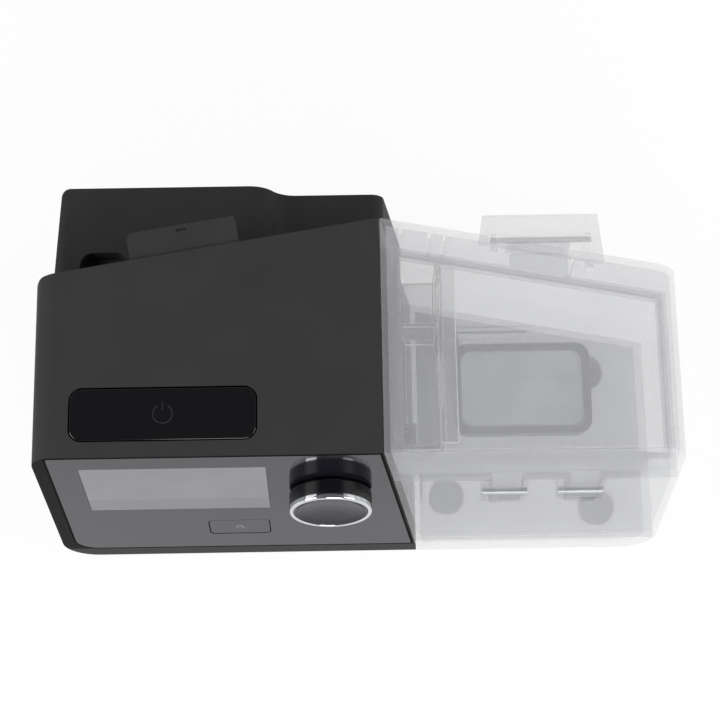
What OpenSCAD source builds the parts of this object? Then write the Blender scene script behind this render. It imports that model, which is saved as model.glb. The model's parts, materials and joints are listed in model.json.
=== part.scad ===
// Bedside CPAP machine with its humidifier clipped to the right side, in millimetres.
// Modules draw in the unit's own grid: x runs from the left side, y back from the top
// front edge and z up from the table. placed() moves the origin to the centre of the
// footprint, so that the part stands on z = 0 with +Y to its back.

/* [Body] */
// Overall width, left side to right side
body_w = 264; // [260:1:272]
// Overall height, table to top
body_h = 116; // [114:1:120]
// Width of the main unit's top
main_w = 141.5; // [139:0.5:145]
// Lean of the front face, back from the vertical
front_lean = 8; // [7:0.5:9]
// How far the wall between the two units moves right for each mm down
split_slope = 0.14; // [0.12:0.01:0.16]
// Depth of the top at its left and right ends
side_d = 77; // [75:0.5:80]
// Depth of the top where the two units meet
mid_d = 100.5; // [98:0.5:103]
// Distance from the top front edge to the rear wall
rear_d = 131; // [129:0.5:136]
// Height of the rear block
rear_h = 78; // [77:0.5:80]
// Height of the rear block's lower part, over the air outlet
outlet_block_h = 66; // [65.5:0.5:69]
// Left side of the rear block at its front end
rear_x0 = 0.8; // [0.5:0.1:1.5]
// How far the rear block's left side draws in over its depth
rear_taper = 3.7; // [2:0.1:5]
// How far the rear block stands in from the meeting line on its right
rear_right_in = 4.2; // [3.8:0.1:4.5]
// Where the rear block's top starts to fall
fall_x = 92; // [90:0.5:95]
// Width of the falling stretch
fall_w = 8; // [7:0.5:10]
// Radius of both bends in the falling stretch
fall_r = 12; // [8:0.5:13]
// Height of the seam above the base
base_h = 10; // [9:0.5:11]
// Wall thickness of the black housings
wall = 3; // [2.6:0.1:3.2]
// Radius along the top left and top right edges
top_r = 9; // [6:0.5:11]
// Radius along the bottom left and bottom right edges
bottom_r = 15; // [13:0.5:16]
// Radius of the upright rear corners
corner_r = 4; // [3.5:0.5:6]
// Radius of the clear units' upright rear corner
tank_corner_r = 1.5; // [1:0.5:3]
// Gap between the two units
split_gap = 0.6; // [0.4:0.1:1]
// Clearance between pieces that are fitted together
fit = 0.3; // [0.25:0.05:0.35]
// Radial running clearance of shafts and pins
run = 0.05; // [0.03:0.01:0.08]

/* [Top and rear] */
// Left side of the power plate
power_x = 15.7; // [14:0.1:18]
// Front side of the power plate
power_y = 6.8; // [6.5:0.1:8]
// Width of the power plate
power_w = 75.3; // [70:0.1:78]
// Depth of the power plate
power_d = 21.8; // [20:0.1:24]
// Corner radius of the power plate
power_r = 5; // [3:0.5:7]
// Thickness of the power plate
power_t = 3.2; // [3:0.1:3.6]
// Travel of the power plate and of the home key
key_travel = 0.8; // [0.5:0.1:0.9]
// Left end of the tongue behind the top
tongue_x = 39; // [37:0.5:42]
// Width of the tongue
tongue_w = 45.5; // [40:0.5:48]
// Depth of the tongue behind the top
tongue_d = 12; // [10:0.5:13]
// Thickness of the tongue
tongue_t = 2.4; // [2:0.1:2.8]
// Step down from the top to the tongue
tongue_drop = 0.8; // [0.5:0.1:1.5]
// Left side of the well behind the top
well_x = 13; // [12:0.5:15]
// Width of the well
well_w = 21; // [18:0.5:22]
// Back end of the well
well_y = 101; // [98:0.5:103]
// Depth of the well
well_depth = 9; // [7:0.5:10]
// Corner radius of the well
well_r = 6; // [4:0.5:7]

/* [Front panel] */
// Left side of the panel
panel_x = 6; // [5:0.5:8]
// Drop from the top front edge to the panel
panel_top = 1.6; // [1.2:0.1:2.5]
// Height of the panel's lower edge above the seam
panel_low = 0.4; // [0.3:0.1:0.8]
// Edge of housing to the right of the panel
panel_edge = 1; // [0.8:0.1:1.5]
// Radius of the panel's lower left corner
panel_r = 10; // [8:0.5:12]
// Panel thickness
panel_t = 2.6; // [2.2:0.1:2.8]
// Wall behind the panel
backing_t = 2.2; // [1.8:0.1:2.6]
// Left side of the display window
display_x = 17.9; // [17:0.1:20]
// Drop to the display window
display_top = 13; // [12:0.5:15]
// Width of the display window
display_w = 76.3; // [72:0.1:77]
// Height of the display window
display_h = 46.3; // [43:0.1:47]
// Border of the display module around its window
display_rim = 1.8; // [1.5:0.1:2.2]
// Left side of the home key
home_x = 66.8; // [64:0.1:69]
// Drop to the home key
home_top = 74; // [72:0.5:76]
// Width of the home key
home_w = 26; // [22:0.5:28]
// Height of the home key
home_h = 16; // [13:0.5:17]
// Gap around a key
key_gap = 0.4; // [0.3:0.05:0.6]

/* [Knob] */
// Centre of the knob from the left side
knob_x = 120; // [118:0.5:121]
// Drop to the knob's centre
knob_top = 40.5; // [38:0.5:44]
// Knob radius
knob_r = 17.25; // [16:0.25:18]
// How far the knob stands out of the panel
knob_out = 10; // [9:0.5:12]
// Width of the bright ring
ring_w = 3.6; // [3:0.1:4.5]
// Depth of the bright ring
ring_t = 2.4; // [2:0.1:3]
// Travel of the knob when it is pressed
knob_travel = 0.6; // [0.4:0.1:0.7]
// Radius of the encoder's turning shaft
encoder_r = 2; // [1.8:0.1:2.2]

/* [Air path] */
// Blower axis from the left side
blower_x = 62; // [61:0.5:64]
// Blower axis from the front edge
blower_y = 46; // [45:0.5:47]
// Underside of the blower
blower_z = 12; // [11.5:0.5:13]
// Outer radius of the blower
blower_r = 34; // [33:0.5:35]
// Wall of the blower
blower_wall = 2; // [1.6:0.1:2.4]
// Height of the blower's motor half
motor_h = 20; // [19.5:0.5:21]
// Height of the blower's upper half
volute_h = 16; // [15.5:0.5:17]
// Radius of the impeller
impeller_r = 26; // [24:0.5:27]
// Blade count of the impeller
blades = 11; // [7:2:13]
// Radius of the motor shaft
shaft_r = 2; // [1.8:0.1:2.2]
// Underside of the inlet muffler
muffler_z = 58; // [57.5:0.5:59]
// Gap between the inlet muffler and the board above it
muffler_gap = 11; // [10:0.5:14]
// Centre of the front air port, which takes air to the water
out_port_y = 46.5; // [45:0.5:48]
// Drop from the top to the front air port's centre
out_port_drop = 44.5; // [44:0.5:46]
// Centre of the rear air port, which takes air back
back_port_y = 84.5; // [83:0.5:85]
// Drop from the top to the rear air port's centre
back_port_drop = 46; // [44:0.5:47]
// Radius of both air ports
port_r = 10; // [9:0.5:10.5]
// Outer radius of the hose outlet
outlet_r = 11; // [10:0.5:11.5]
// Wall of the hose outlet
outlet_wall = 1.6; // [1.4:0.1:2]
// Hose outlet's centre from the left side
outlet_x = 126; // [125:0.5:127]
// Height of the hose outlet's centre
outlet_z = 44.5; // [43:0.5:45]
// Radius of the hollow around the hose outlet
outlet_well_r = 18; // [17:0.5:18.5]
// Distance from the widest part of the top back to the hollow's floor
outlet_well_in = 3.5; // [2.5:0.5:4.5]

/* [Rear fittings] */
// Left side of the filter opening
filter_x = 13; // [12.5:0.5:14]
// Width of the filter opening
filter_w = 47; // [44:0.5:48]
// Underside of the filter opening
filter_z = 16; // [15:0.5:18]
// Height of the filter opening
filter_h = 52; // [50:0.5:54]
// Thickness of the filter's cover
filter_cover_t = 2.5; // [2:0.1:3]
// Thickness of the filter
filter_t = 14; // [12:0.5:15]
// Power inlet from the left side
dc_x = 84; // [83:0.5:85]
// Height of the power inlet
dc_z = 24; // [22:0.5:26]
// Radius of the power inlet's hole
dc_r = 3.2; // [2.9:0.1:3.5]
// Radius of the power inlet's centre pin
dc_pin_r = 1.25; // [1:0.05:1.35]
// Depth of the power inlet
dc_depth = 10; // [9:0.5:11]
// Front edge of the memory card
card_y = 42; // [41:0.5:44]
// Width of the memory card
card_w = 24; // [23:0.5:25]
// Length of the memory card
card_l = 32; // [30:0.5:33]
// Thickness of the memory card
card_t = 2.1; // [1.8:0.1:2.3]

/* [Humidifier] */
// Height of the lid
lid_h = 30.8; // [29:0.2:32]
// Wall of the clear chamber
clear_wall = 2.2; // [2:0.1:2.6]
// Height of the humidifier's base
tray_h = 12.6; // [12:0.1:13]
// Width of the chamber's rim
rim_w = 4.5; // [4:0.1:5.5]
// Width of the chamber's rim at the front
rim_front = 12; // [11.5:0.1:13]
// Thickness of the chamber's rim
rim_t = 3.4; // [3.2:0.1:4]
// Left side of the heater plate
heater_x = 177.5; // [176:0.5:180]
// Front side of the heater plate
heater_y = 35.5; // [34:0.5:37]
// Width of the heater plate
heater_w = 60; // [57:0.5:61]
// Depth of the heater plate
heater_d = 40; // [38:0.5:41]
// Corner radius of the heater plate
heater_r = 5; // [3:0.5:7]
// Thickness of the heater plate
heater_t = 1.6; // [1.4:0.1:1.8]
// Left face of the air baffle
baffle_x = 166; // [165:0.5:167]
// Drop from the rear air port to the air baffle's floor
baffle_drop = 6; // [5:0.5:8]
// Width of the flange on top of the air baffle
baffle_flange = 7.6; // [6:0.2:9]
// How far the air baffle rises above the rim
baffle_rise = 6.5; // [4:0.5:8]
// Lid hinge below the rim
hinge_drop = 21; // [20:0.5:23]
// Depth of the lid hinge behind the front face
hinge_in = 3.4; // [3.3:0.1:3.8]
// Radius of the hinge pins
pin_r = 1.5; // [1.2:0.1:1.6]
// Radius of the lid arms' eyes
eye_r = 3; // [2.8:0.1:3.2]
// Width of a lid arm
arm_w = 12.5; // [11:0.5:14]
// Left sides of the lid arms
arm_xs = [187.3, 219.5];
// Left side of the latch tab
tab_x = 185; // [184:0.5:187]
// Width of the latch tab
tab_w = 51; // [48:0.5:52]
// Back edge of the latch tab
tab_y = 107.8; // [106:0.1:110]
// Gap between the latch's plate and the lid's back wall
latch_gap = 3.5; // [3:0.5:4]
// Height of the latch's pivot below the top
latch_drop = 20; // [19:0.5:21]
// Distance of the latch's pivot behind the meeting line of the tops
latch_in = 3.5; // [3:0.5:4]

/* [Feet] */
// Height of the gap under the body
foot_out = 1.5; // [1.2:0.1:2]
// Radius of a foot
foot_r = 8; // [7:0.5:9]
// Depth of a foot's seat
foot_seat = 1.6; // [1.2:0.1:1.8]

/* [Hidden] */
$fn = 64;

// Colours as the photograph shows them
shell_black = "#3a3a3c";
gloss_black = "#17171a";
panel_grey = "#5f5f64";
glass_grey = "#909094";
chrome = "#d6d8da";
steel = "#a9adb0";
clear_white = "#d9dadc";
rubber_black = "#232325";
board_green = "#24553a";
motor_grey = "#6d7074";
copper = "#b06a3c";
foam_grey = "#5a5d61";
duct_grey = "#8d9094";
gold = "#caa24a";

big = 300;
floor_top = foot_out + wall;
lean_cos = cos(front_lean);
lean_tan = tan(front_lean);
split_len = sqrt(1 + split_slope * split_slope);
back_slope = (mid_d - side_d) / main_w;
tank_slope = (mid_d - side_d) / (body_w - main_w);
panel_in = panel_t + 0.2;
ring_edge = 0.7;
knob_reach = (knob_top + knob_r - ring_edge) * sin(front_lean) + knob_out * lean_cos;
front_y = -max((body_h - foot_out) * lean_tan, knob_reach);
fall_half = tan(atan((rear_h - outlet_block_h) / fall_w) / 2);
top_in = body_h - wall;
board_z = body_h - 18;
board_t = 1.6;
board_lo = [12, 12];
board_hi = [main_w - 9.5, side_d - wall];
muffler_h = board_z - muffler_gap - muffler_z;
out_port_z = body_h - out_port_drop;
back_port_z = body_h - back_port_drop;
outlet_well_d = rear_d - mid_d - outlet_well_in;
baffle_z = back_port_z - port_r - baffle_drop;
seam_z = body_h - lid_h;
rim_z = seam_z - 0.8;
tank_z = tray_h + 0.4;
tank_floor = tank_z + 2.5;
hinge_z = seam_z - hinge_drop - 0.7;
hinge_top = (body_h - hinge_z) / lean_cos;
latch_y = mid_d - latch_in;
latch_z = body_h - latch_drop;
filter_y = rear_d - wall - filter_t - 2;
well_z = rear_h - well_depth;

// Posts under the inlet muffler, main screws, and screws of the two boards
post_r = 4;
muffler_lo = [12, 11];
muffler_hi = [108, side_d - 2];
post_in = 4;
posts = [for (x = [muffler_lo.x + post_in, muffler_hi.x - post_in])
    for (y = [muffler_lo.y + post_in, muffler_hi.y - post_in]) [x, y]];
left_screws = [[12, 28], [12, 58]];
right_screws = [[144, 42], [144, 88]];
rear_screws = [[70, rear_d - 9], [98, rear_d - 9]];
main_screws = concat(left_screws, right_screws, rear_screws);
boss_half = 5;
boss_h = 16;
screw_r = 1.5;
head_r = 3;
lug_ys = [[6, 24], [62, 80]];
lug_l = 12;
lug_z = [5.2, 8.8];
board_bosses = [
    [100, board_lo.y + 4], [board_lo.x + 6, 36], [board_hi.x - 6, 38],
    [board_lo.x + 6, board_hi.y - 2.6], [board_hi.x - 6, board_hi.y - 4]
];
front_board_in = 9;
front_board_x = 12;
front_board_drop = 7;
front_board_w = main_w - 17.5;
front_board_h = (body_h - base_h) / lean_cos - 2 * front_board_drop - 2;
front_bosses = [
    [front_board_x + 6, home_top - 6],
    [front_board_x + 6, front_board_drop + front_board_h - 4],
    [front_board_x + front_board_w - 5, front_board_drop + 7],
    [front_board_x + front_board_w - 5, front_board_drop + front_board_h - 6]
];
main_feet = [[26, 0], [26, 112], [128, 112], [128, 0]];
tray_feet = [[172, 8], [240, 2], [172, 82], [238, 66]];
rails = [[14, 3], [80, 2.5]];
rail_x = [172, 210];
rail_h = 2;
card_z = board_z - 3.4;
baffle_lo_y = 10;
baffle_t = 2;
rib_xs = [150, 162, 168, 221];
duct_wall = 1.8;

function unit(v) = v / norm(v);
function flat(p) = [p.x, p.y];
// One corner of an outline: a point, or an arc of the radius in its third number
function corner(a, p, b, n) =
    p.z <= 0 ? [flat(p)] :
    let (
        u = unit(flat(a) - flat(p)),
        v = unit(flat(b) - flat(p)),
        half = acos(u * v) / 2,
        c = flat(p) + unit(u + v) * p.z / sin(half),
        s = flat(p) + u * p.z / tan(half) - c,
        e = flat(p) + v * p.z / tan(half) - c,
        a0 = atan2(s.y, s.x),
        turn = (atan2(e.y, e.x) - a0 + 540) % 360 - 180
    )
    [for (i = [0:n]) c + p.z * [cos(a0 + turn * i / n), sin(a0 + turn * i / n)]];
function outline(pts, n = 8) = [for (i = [0:len(pts) - 1])
    each corner(pts[(i + len(pts) - 1) % len(pts)], pts[i], pts[(i + 1) % len(pts)], n)];
function split_x(z) = main_w + (body_h - z) * split_slope;
function main_back(x) = side_d + back_slope * min(x, main_w);
function tank_back(x) = mid_d - tank_slope * (x - main_w);
function box_outline(w, h, r) = outline([[0, 0, r], [w, 0, r], [w, h, r], [0, h, r]]);
function panel_right(down) = split_x(body_h - down * lean_cos) - panel_edge;

module placed() translate([-body_w / 2, -(front_y + rear_d) / 2, 0]) children();
module along_x(x0, x1) translate([x0, 0, 0]) rotate([90, 0, 90]) linear_extrude(x1 - x0) children();
module along_y(y0, y1) translate([0, y1, 0]) rotate([90, 0, 0]) linear_extrude(y1 - y0) children();
module along_z(z0, z1) translate([0, 0, z0]) linear_extrude(z1 - z0) children();
module block(lo, hi) translate(lo) cube(hi - lo);
module slab(z0, z1) block([-big, -big, z0], [2 * big, big, z1]);
module rod_x(x0, x1, y, z, r) translate([x0, y, z]) rotate([0, 90, 0]) cylinder(r = r, h = x1 - x0);
module rod_y(x, y0, y1, z, r) translate([x, y1, z]) rotate([90, 0, 0]) cylinder(r = r, h = y1 - y0);
module rod_z(p, z0, z1, r) translate([p.x, p.y, z0]) cylinder(r = r, h = z1 - z0);
// Places its children on the front face: x as it is, y up the face, z out of it
module on_front(x, down, out = 0)
    translate([x, 0, body_h]) rotate([90 - front_lean, 0, 0]) translate([0, -down, out]) children();
// A plate on the front face, from its left top corner, between two distances out of the face
module front_plate(x, down, w, h, r, out0, out1)
    on_front(x, down + h, out0) linear_extrude(out1 - out0) polygon(box_outline(w, h, r));
module top_plate(x, y, w, d, r, z0, z1)
    translate([x, y, z0]) linear_extrude(z1 - z0) polygon(box_outline(w, d, r));

// Everything behind the leaning front face, drawn in by t
module behind_front(t) along_x(-big, 2 * big) polygon([
    [-body_h * lean_tan + t / lean_cos, 0], [big, 0], [big, body_h + 1], [lean_tan + t / lean_cos, body_h + 1]
]);
// The main unit's outer shape, drawn in by t, and by front_t at the front
module main_env(t = 0, front_t = undef) intersection() {
    along_y(-big, big) polygon(outline([
        [t, foot_out + t, bottom_r - t],
        [split_x(foot_out + t) - t * split_len, foot_out + t, 0],
        [split_x(body_h - t) - t * split_len, body_h - t, 0],
        [t, body_h - t, top_r - t]
    ]));
    behind_front(front_t == undef ? t : front_t);
    along_z(-1, body_h + 1) polygon(outline([
        [t, -big, 0],
        [big, -big, 0],
        [big, mid_d - t, 0],
        [main_w, mid_d - t, 0],
        [t, main_back(t) - t * sqrt(1 + back_slope * back_slope), corner_r - min(t, corner_r)]
    ]));
}
// The rear block's outer shape, drawn in by t
module rear_env(t = 0) intersection() {
    along_y(side_d - 20, big) polygon(outline([
        [rear_x0 - 1 + t, foot_out + t, bottom_r - t],
        [split_x(foot_out + t) - t * split_len - rear_right_in, foot_out + t, 0],
        [split_x(outlet_block_h - t) - t * split_len - rear_right_in, outlet_block_h - t, 6 - t],
        [fall_x + fall_w - t * fall_half, outlet_block_h - t, fall_r + t],
        [fall_x - t * fall_half, rear_h - t, fall_r - t],
        [rear_x0 - 1 + t, rear_h - t, 7 - t]
    ]));
    along_z(-1, rear_h + 1) polygon(outline([
        [rear_x0 + t, 0, 0],
        [big, 0, 0],
        [big, rear_d - t, 0],
        [rear_x0 + rear_taper + t, rear_d - t, corner_r - min(t, corner_r - 0.5)],
        [rear_x0 + t, side_d, 0]
    ]));
}
// The humidifier's outer shape, drawn in by t, and by front_t at the front
module tank_env(t = 0, front_t = undef) intersection() {
    along_y(-big, big) polygon(outline([
        [split_x(foot_out + t) + split_gap + t * split_len, foot_out + t, 0],
        [body_w - t, foot_out + t, bottom_r - t],
        [body_w - t, body_h - t, top_r - t],
        [split_x(body_h - t) + split_gap + t * split_len, body_h - t, 0]
    ]));
    behind_front(front_t == undef ? t : front_t);
    along_z(-1, body_h + 1) polygon(outline([
        [0, -big, 0],
        [body_w - t, -big, 0],
        [body_w - t, tank_back(body_w - t) - t * sqrt(1 + tank_slope * tank_slope), max(tank_corner_r - t, 0)],
        [0, tank_back(0) - t * sqrt(1 + tank_slope * tank_slope), 0]
    ]));
}

// ---- Housing of the main unit ----
module lower_housing() color(shell_black) difference() {
    union() {
        intersection() {
            difference() {
                union() {
                    main_env();
                    rear_env();
                }
                main_env(wall);
                rear_env(wall);
            }
            slab(0, base_h);
        }
        for (p = posts) rod_z(p, floor_top - 1, muffler_z, post_r);
        for (p = main_screws) rod_z(p, floor_top, base_h, boss_half);
        for (y = [40, 66]) block([tab_in, y, base_h - 2], [tab_in + 1.6, y + 8, base_h + 3]);
        for (x = [50, 110])
            block([x, rear_d - wall - fit - 1.6, floor_top - 1], [x + 8, rear_d - wall - fit, base_h + 3]);
    }
    for (p = main_screws) {
        rod_z(p, 0, base_h + 1, screw_r + fit);
        rod_z(p, 0, floor_top + 0.5, head_r + fit);
    }
    for (y = lug_ys) {
        block([main_w, y[0] - fit, lug_z[0] - fit], [big, y[1] + fit, lug_z[1] + fit]);
        rod_z(lug_screw(y), 0, floor_top + 1, screw_r + fit);
        rod_z(lug_screw(y), 0, foot_out + 1.8, head_r + fit);
    }
    for (p = main_feet) rod_z(p, 0, foot_out + foot_seat, foot_r + fit);
    for (i = [0:6]) top_plate(52, 24 + 7 * i, 40, 3, 1.4, 0, floor_top + 1);
}
// Inner side of the round lower left edge at the seam, plus the clearance
tab_in = bottom_r + fit - sqrt(pow(bottom_r - wall, 2) - pow(foot_out + bottom_r - base_h, 2));
function lug_screw(y) = [split_x(lug_z[0]) - lug_l / 2 - 1, (y[0] + y[1]) / 2];

module top_cover() color(shell_black) difference() {
    union() {
        intersection() {
            difference() {
                main_env();
                main_env(wall, panel_in + backing_t);
            }
            slab(base_h, body_h);
        }
        for (p = left_screws)
            block([2, p.y - boss_half, base_h], [p.x + boss_half, p.y + boss_half, base_h + boss_h]);
        for (p = right_screws) block(
            [p.x - boss_half, p.y - boss_half, base_h],
            [split_x(base_h + boss_h) - 1.5, p.y + boss_half, base_h + boss_h]
        );
        for (p = board_bosses) rod_z(p, board_z + board_t, top_in + 1, 3.2);
        for (p = front_bosses) on_front(p.x, p.y, -front_board_in)
            cylinder(r = 3, h = front_board_in - panel_in - 1);
        tongue();
    }
    panel_recess();
    front_plate(display_x - display_rim - fit, display_top - display_rim - fit,
        display_w + 2 * (display_rim + fit), display_h + 2 * (display_rim + fit), 1, -20, 1);
    front_plate(home_x - 2.4, home_top - 2.4, home_w + 4.8, home_h + 4.8, 2, -20, 1);
    on_front(knob_x, knob_top, -20) cylinder(r = 9.6, h = 21);
    for (p = front_bosses) on_front(p.x, p.y, -front_board_in - 1) cylinder(r = 1.05, h = 5);
    top_plate(power_x - key_gap, power_y - key_gap, power_w + 2 * key_gap, power_d + 2 * key_gap,
        power_r + key_gap, top_in - 1, body_h + 1);
    for (p = board_bosses) rod_z(p, 0, board_z + 9, 1.05);
    for (p = concat(left_screws, right_screws)) rod_z(p, base_h - 1, base_h + 13, screw_r + run);
    block([9, side_d - 20, base_h - 1], [snorkel_x[1] + 2, mid_d + 1, snorkel_top + 2 * fit]);
    block([9, side_d - 20, base_h - 1], [outlet_x + outlet_flange + 1, mid_d + 1, outlet_block_h - wall - 1]);
    port_hole(out_port_y, out_port_z, port_r + 2 + fit);
    port_hole(back_port_y, back_port_z, port_r + 2 + fit);
    rod_x(main_w - 6, big, pin_y, pin_z, pin_rod + run);
    block([-1, card_y - 0.5, card_z - 0.5], [wall + 2, card_y + card_w + 0.5, card_z + card_t + 0.5]);
}
pin_y = 18.8;
pin_z = out_port_z + 0.5;
pin_rod = 2.2;
module port_hole(y, z, r) rod_x(main_w - 12, split_x(0) + 10, y, z, r);
// The flat tongue that stands out behind the top, square to the top's back edge
module tongue() {
    z1 = body_h - tongue_drop;
    translate([tongue_x, main_back(tongue_x), z1 - tongue_t])
        rotate([0, 0, atan(back_slope)])
            difference() {
                linear_extrude(tongue_t) polygon(outline([
                    [0, -wall, 0], [tongue_w, -wall, 0], [tongue_w, tongue_d, 1], [0, tongue_d, 3]
                ]));
                block([tongue_w / 2 - 2, tongue_d - 2.8, tongue_t - 0.5],
                    [tongue_w / 2 + 2, tongue_d - 1.8, tongue_t + 1]);
            }
}
module panel_recess() on_front(0, 0, -panel_in) linear_extrude(panel_in + 1) polygon(outline([
    [panel_x - 0.2, -(body_h - base_h - panel_low) / lean_cos - 0.2, panel_r],
    [panel_r + panel_x + 4, -(body_h - base_h - panel_low) / lean_cos - 0.2, 0],
    [panel_r + panel_x + 4, -(body_h - base_h + 4) / lean_cos, 0],
    [panel_right((body_h - base_h + 4) / lean_cos) + 0.2, -(body_h - base_h + 4) / lean_cos, 0],
    [panel_right(panel_top) + 0.2, -panel_top + 0.2, 0],
    [panel_x - 0.2, -panel_top + 0.2, 2]
]));

module rear_cover() color(shell_black) difference() {
    union() {
        intersection() {
            rear_env();
            slab(base_h, rear_h);
            difference() {
                slab(0, rear_h);
                difference() {
                    rear_env(wall);
                    well_walls();
                    filter_walls();
                    rod_y(outlet_x, rear_d - outlet_well_d - 2, rear_d, outlet_z, outlet_well_r + 2);
                }
            }
        }
        for (p = rear_screws)
            block([p.x - boss_half, p.y - boss_half, base_h], [p.x + boss_half, rear_d - 1, base_h + boss_h]);
    }
    main_env();
    for (p = rear_screws) rod_z(p, base_h - 1, base_h + 13, screw_r + run);
    top_plate(well_x, 0, well_w, well_y, well_r, well_z, rear_h + 1);
    filter_space();
    rod_y(outlet_x, rear_d - outlet_well_d, rear_d + 1, outlet_z, outlet_well_r);
    rod_y(outlet_x, 0, rear_d, outlet_z, outlet_flange + fit);
    block([dc_x - 6.5, rear_d - wall - 1, dc_z - 6.5], [dc_x + 6.5, rear_d + 1, dc_z + 6.5]);
    for (i = [0:4]) block([66 + 5 * i, rear_d - wall - 1, 40], [68.4 + 5 * i, rear_d + 1, 58]);
}
module well_walls()
    top_plate(well_x - 2, 0, well_w + 4, well_y + 2, well_r + 2, well_z - 2, rear_h + 1);
module filter_walls() block(
    [filter_x - 2, filter_y - 2, filter_z - 2],
    [filter_x + filter_w + 2, rear_d, filter_z + filter_h + 2]
);
module filter_space() {
    block([filter_x, filter_y, filter_z], [filter_x + filter_w, rear_d + 1, filter_z + filter_h]);
    block(
        [snorkel_x[0] - fit, filter_y - 3, muffler_z - fit],
        [snorkel_x[1] + fit, filter_y + 1, snorkel_top + fit]
    );
}
snorkel_x = [38, 58];
snorkel_top = muffler_z + 9;

// ---- Front panel, display and keys ----
module front_panel() color(panel_grey) difference() {
    on_front(0, 0, -panel_t) linear_extrude(panel_t) polygon(outline([
        [panel_x, -(body_h - base_h - panel_low) / lean_cos, panel_r],
        [panel_right((body_h - base_h - panel_low) / lean_cos), -(body_h - base_h - panel_low) / lean_cos, 0.6],
        [panel_right(panel_top), -panel_top, 0.6],
        [panel_x, -panel_top, 2]
    ]));
    front_plate(display_x, display_top, display_w, display_h, 0.8, -panel_t - 1, 1);
    front_plate(home_x - key_gap, home_top - key_gap, home_w + 2 * key_gap, home_h + 2 * key_gap,
        2 + key_gap, -panel_t - 1, 1);
    on_front(knob_x, knob_top, -panel_t - 1) cylinder(r = encoder_r + 3, h = panel_t + 2);
}
module display_glass() color(glass_grey)
    front_plate(display_x + 0.1, display_top + 0.1, display_w - 0.2, display_h - 0.2, 0.7, -panel_t, 0);
module display_module() color(gloss_black) difference() {
    front_plate(display_x - display_rim, display_top - display_rim,
        display_w + 2 * display_rim, display_h + 2 * display_rim, 0.8, -front_board_in, -panel_in);
    front_plate(display_x + 1, display_top + 1, display_w - 2, display_h - 2, 0.5, -panel_in - 0.6, 0);
}
module front_board() color(board_green) difference() {
    front_plate(front_board_x, front_board_drop, front_board_w, front_board_h, 2,
        -front_board_in - board_t, -front_board_in);
    for (p = front_bosses) on_front(p.x, p.y, -front_board_in - board_t - 1) cylinder(r = 1.4, h = board_t + 2);
}
module home_button() color(panel_grey) {
    front_plate(home_x, home_top, home_w, home_h, 2, -panel_in - fit, -0.1);
    front_plate(home_x - 1.4, home_top - 1.4, home_w + 2.8, home_h + 2.8, 2,
        -panel_in - fit - 1.2, -panel_in - fit);
    on_front(home_x + home_w / 2, home_top + home_h / 2, -front_board_in + 3.4)
        cylinder(r = 2.5, h = front_board_in - panel_in - fit - 3.6);
}
module home_switch() color(motor_grey) on_front(home_x + home_w / 2, home_top + home_h / 2, -front_board_in) {
    translate([-3, -3, 0]) cube([6, 6, 1.8]);
    cylinder(r = 1.7, h = 3.4 - key_travel - fit);
}
module power_button() color(gloss_black) {
    top_plate(power_x, power_y, power_w, power_d, power_r, body_h - power_t - fit, body_h);
    top_plate(power_x - 1.4, power_y - 1.2, power_w + 2.8, power_d + 2.6, power_r,
        top_in - fit - 2.4, top_in - fit);
    rod_z([power_x + power_w / 2, power_y + power_d / 2], power_stem_z, top_in - fit - 1, 3);
}
power_stem_z = board_z + board_t + 5.6;
module power_switch() color(motor_grey) {
    at = [power_x + power_w / 2, power_y + power_d / 2, board_z + board_t];
    translate(at + [-3, -3, 0]) cube([6, 6, 3.4]);
    rod_z(at, at.z, power_stem_z - key_travel - fit, 1.7);
}
module control_board() color(board_green) difference() {
    along_z(board_z, board_z + board_t) translate(board_lo) square(board_hi - board_lo);
    for (p = board_bosses) rod_z(p, 0, body_h, 1.4);
}
module speaker() color(rubber_black) rod_z([110, 52], board_z + board_t, board_z + board_t + 5, 6);

// ---- Knob and its encoder ----
module knob_body() color(gloss_black) on_front(knob_x, knob_top) rotate_extrude() polygon([
    [encoder_r, 2], [encoder_r + 3, 2],
    [encoder_r + 3, knob_out - ring_t - 2.6], [knob_r - 2, knob_out - ring_t - 2.6],
    [knob_r - 2, 1.1], [knob_r - 0.4, 1.1], [knob_r, 1.6], [knob_r, knob_out - ring_t],
    [encoder_r, knob_out - ring_t]
]);
module knob_ring() color(chrome) on_front(knob_x, knob_top) rotate_extrude() polygon([
    [knob_r - ring_w, knob_out - ring_t], [knob_r, knob_out - ring_t], [knob_r, knob_out - ring_edge],
    [knob_r - ring_edge, knob_out], [knob_r - 1.6, knob_out], [knob_r - ring_w, knob_out - 1]
]);
module knob_cap() color(steel) on_front(knob_x, knob_top) rotate_extrude() polygon(concat(
    [[0, knob_out - ring_t], [knob_r - ring_w - 0.1, knob_out - ring_t]],
    [for (i = [8:-1:0]) [(knob_r - ring_w - 0.1) * i / 8, knob_out - 1.9 + 0.8 * pow(i / 8, 2)]]
));
module encoder_shaft() color(steel) on_front(knob_x, knob_top, -front_board_in + 1.6)
    cylinder(r = encoder_r, h = front_board_in + knob_out - ring_t - 1.6);
plunger_r = encoder_r + 1.4;
module encoder_plunger() color(steel) on_front(knob_x, knob_top) difference() {
    union() {
        translate([0, 0, -front_board_in + 1.4]) cylinder(r = plunger_r + 1.2, h = 1.2);
        translate([0, 0, -front_board_in + 1.4]) cylinder(r = plunger_r, h = front_board_in + 0.3);
    }
    translate([0, 0, -big]) cylinder(r = encoder_r + run, h = 2 * big);
}
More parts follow.
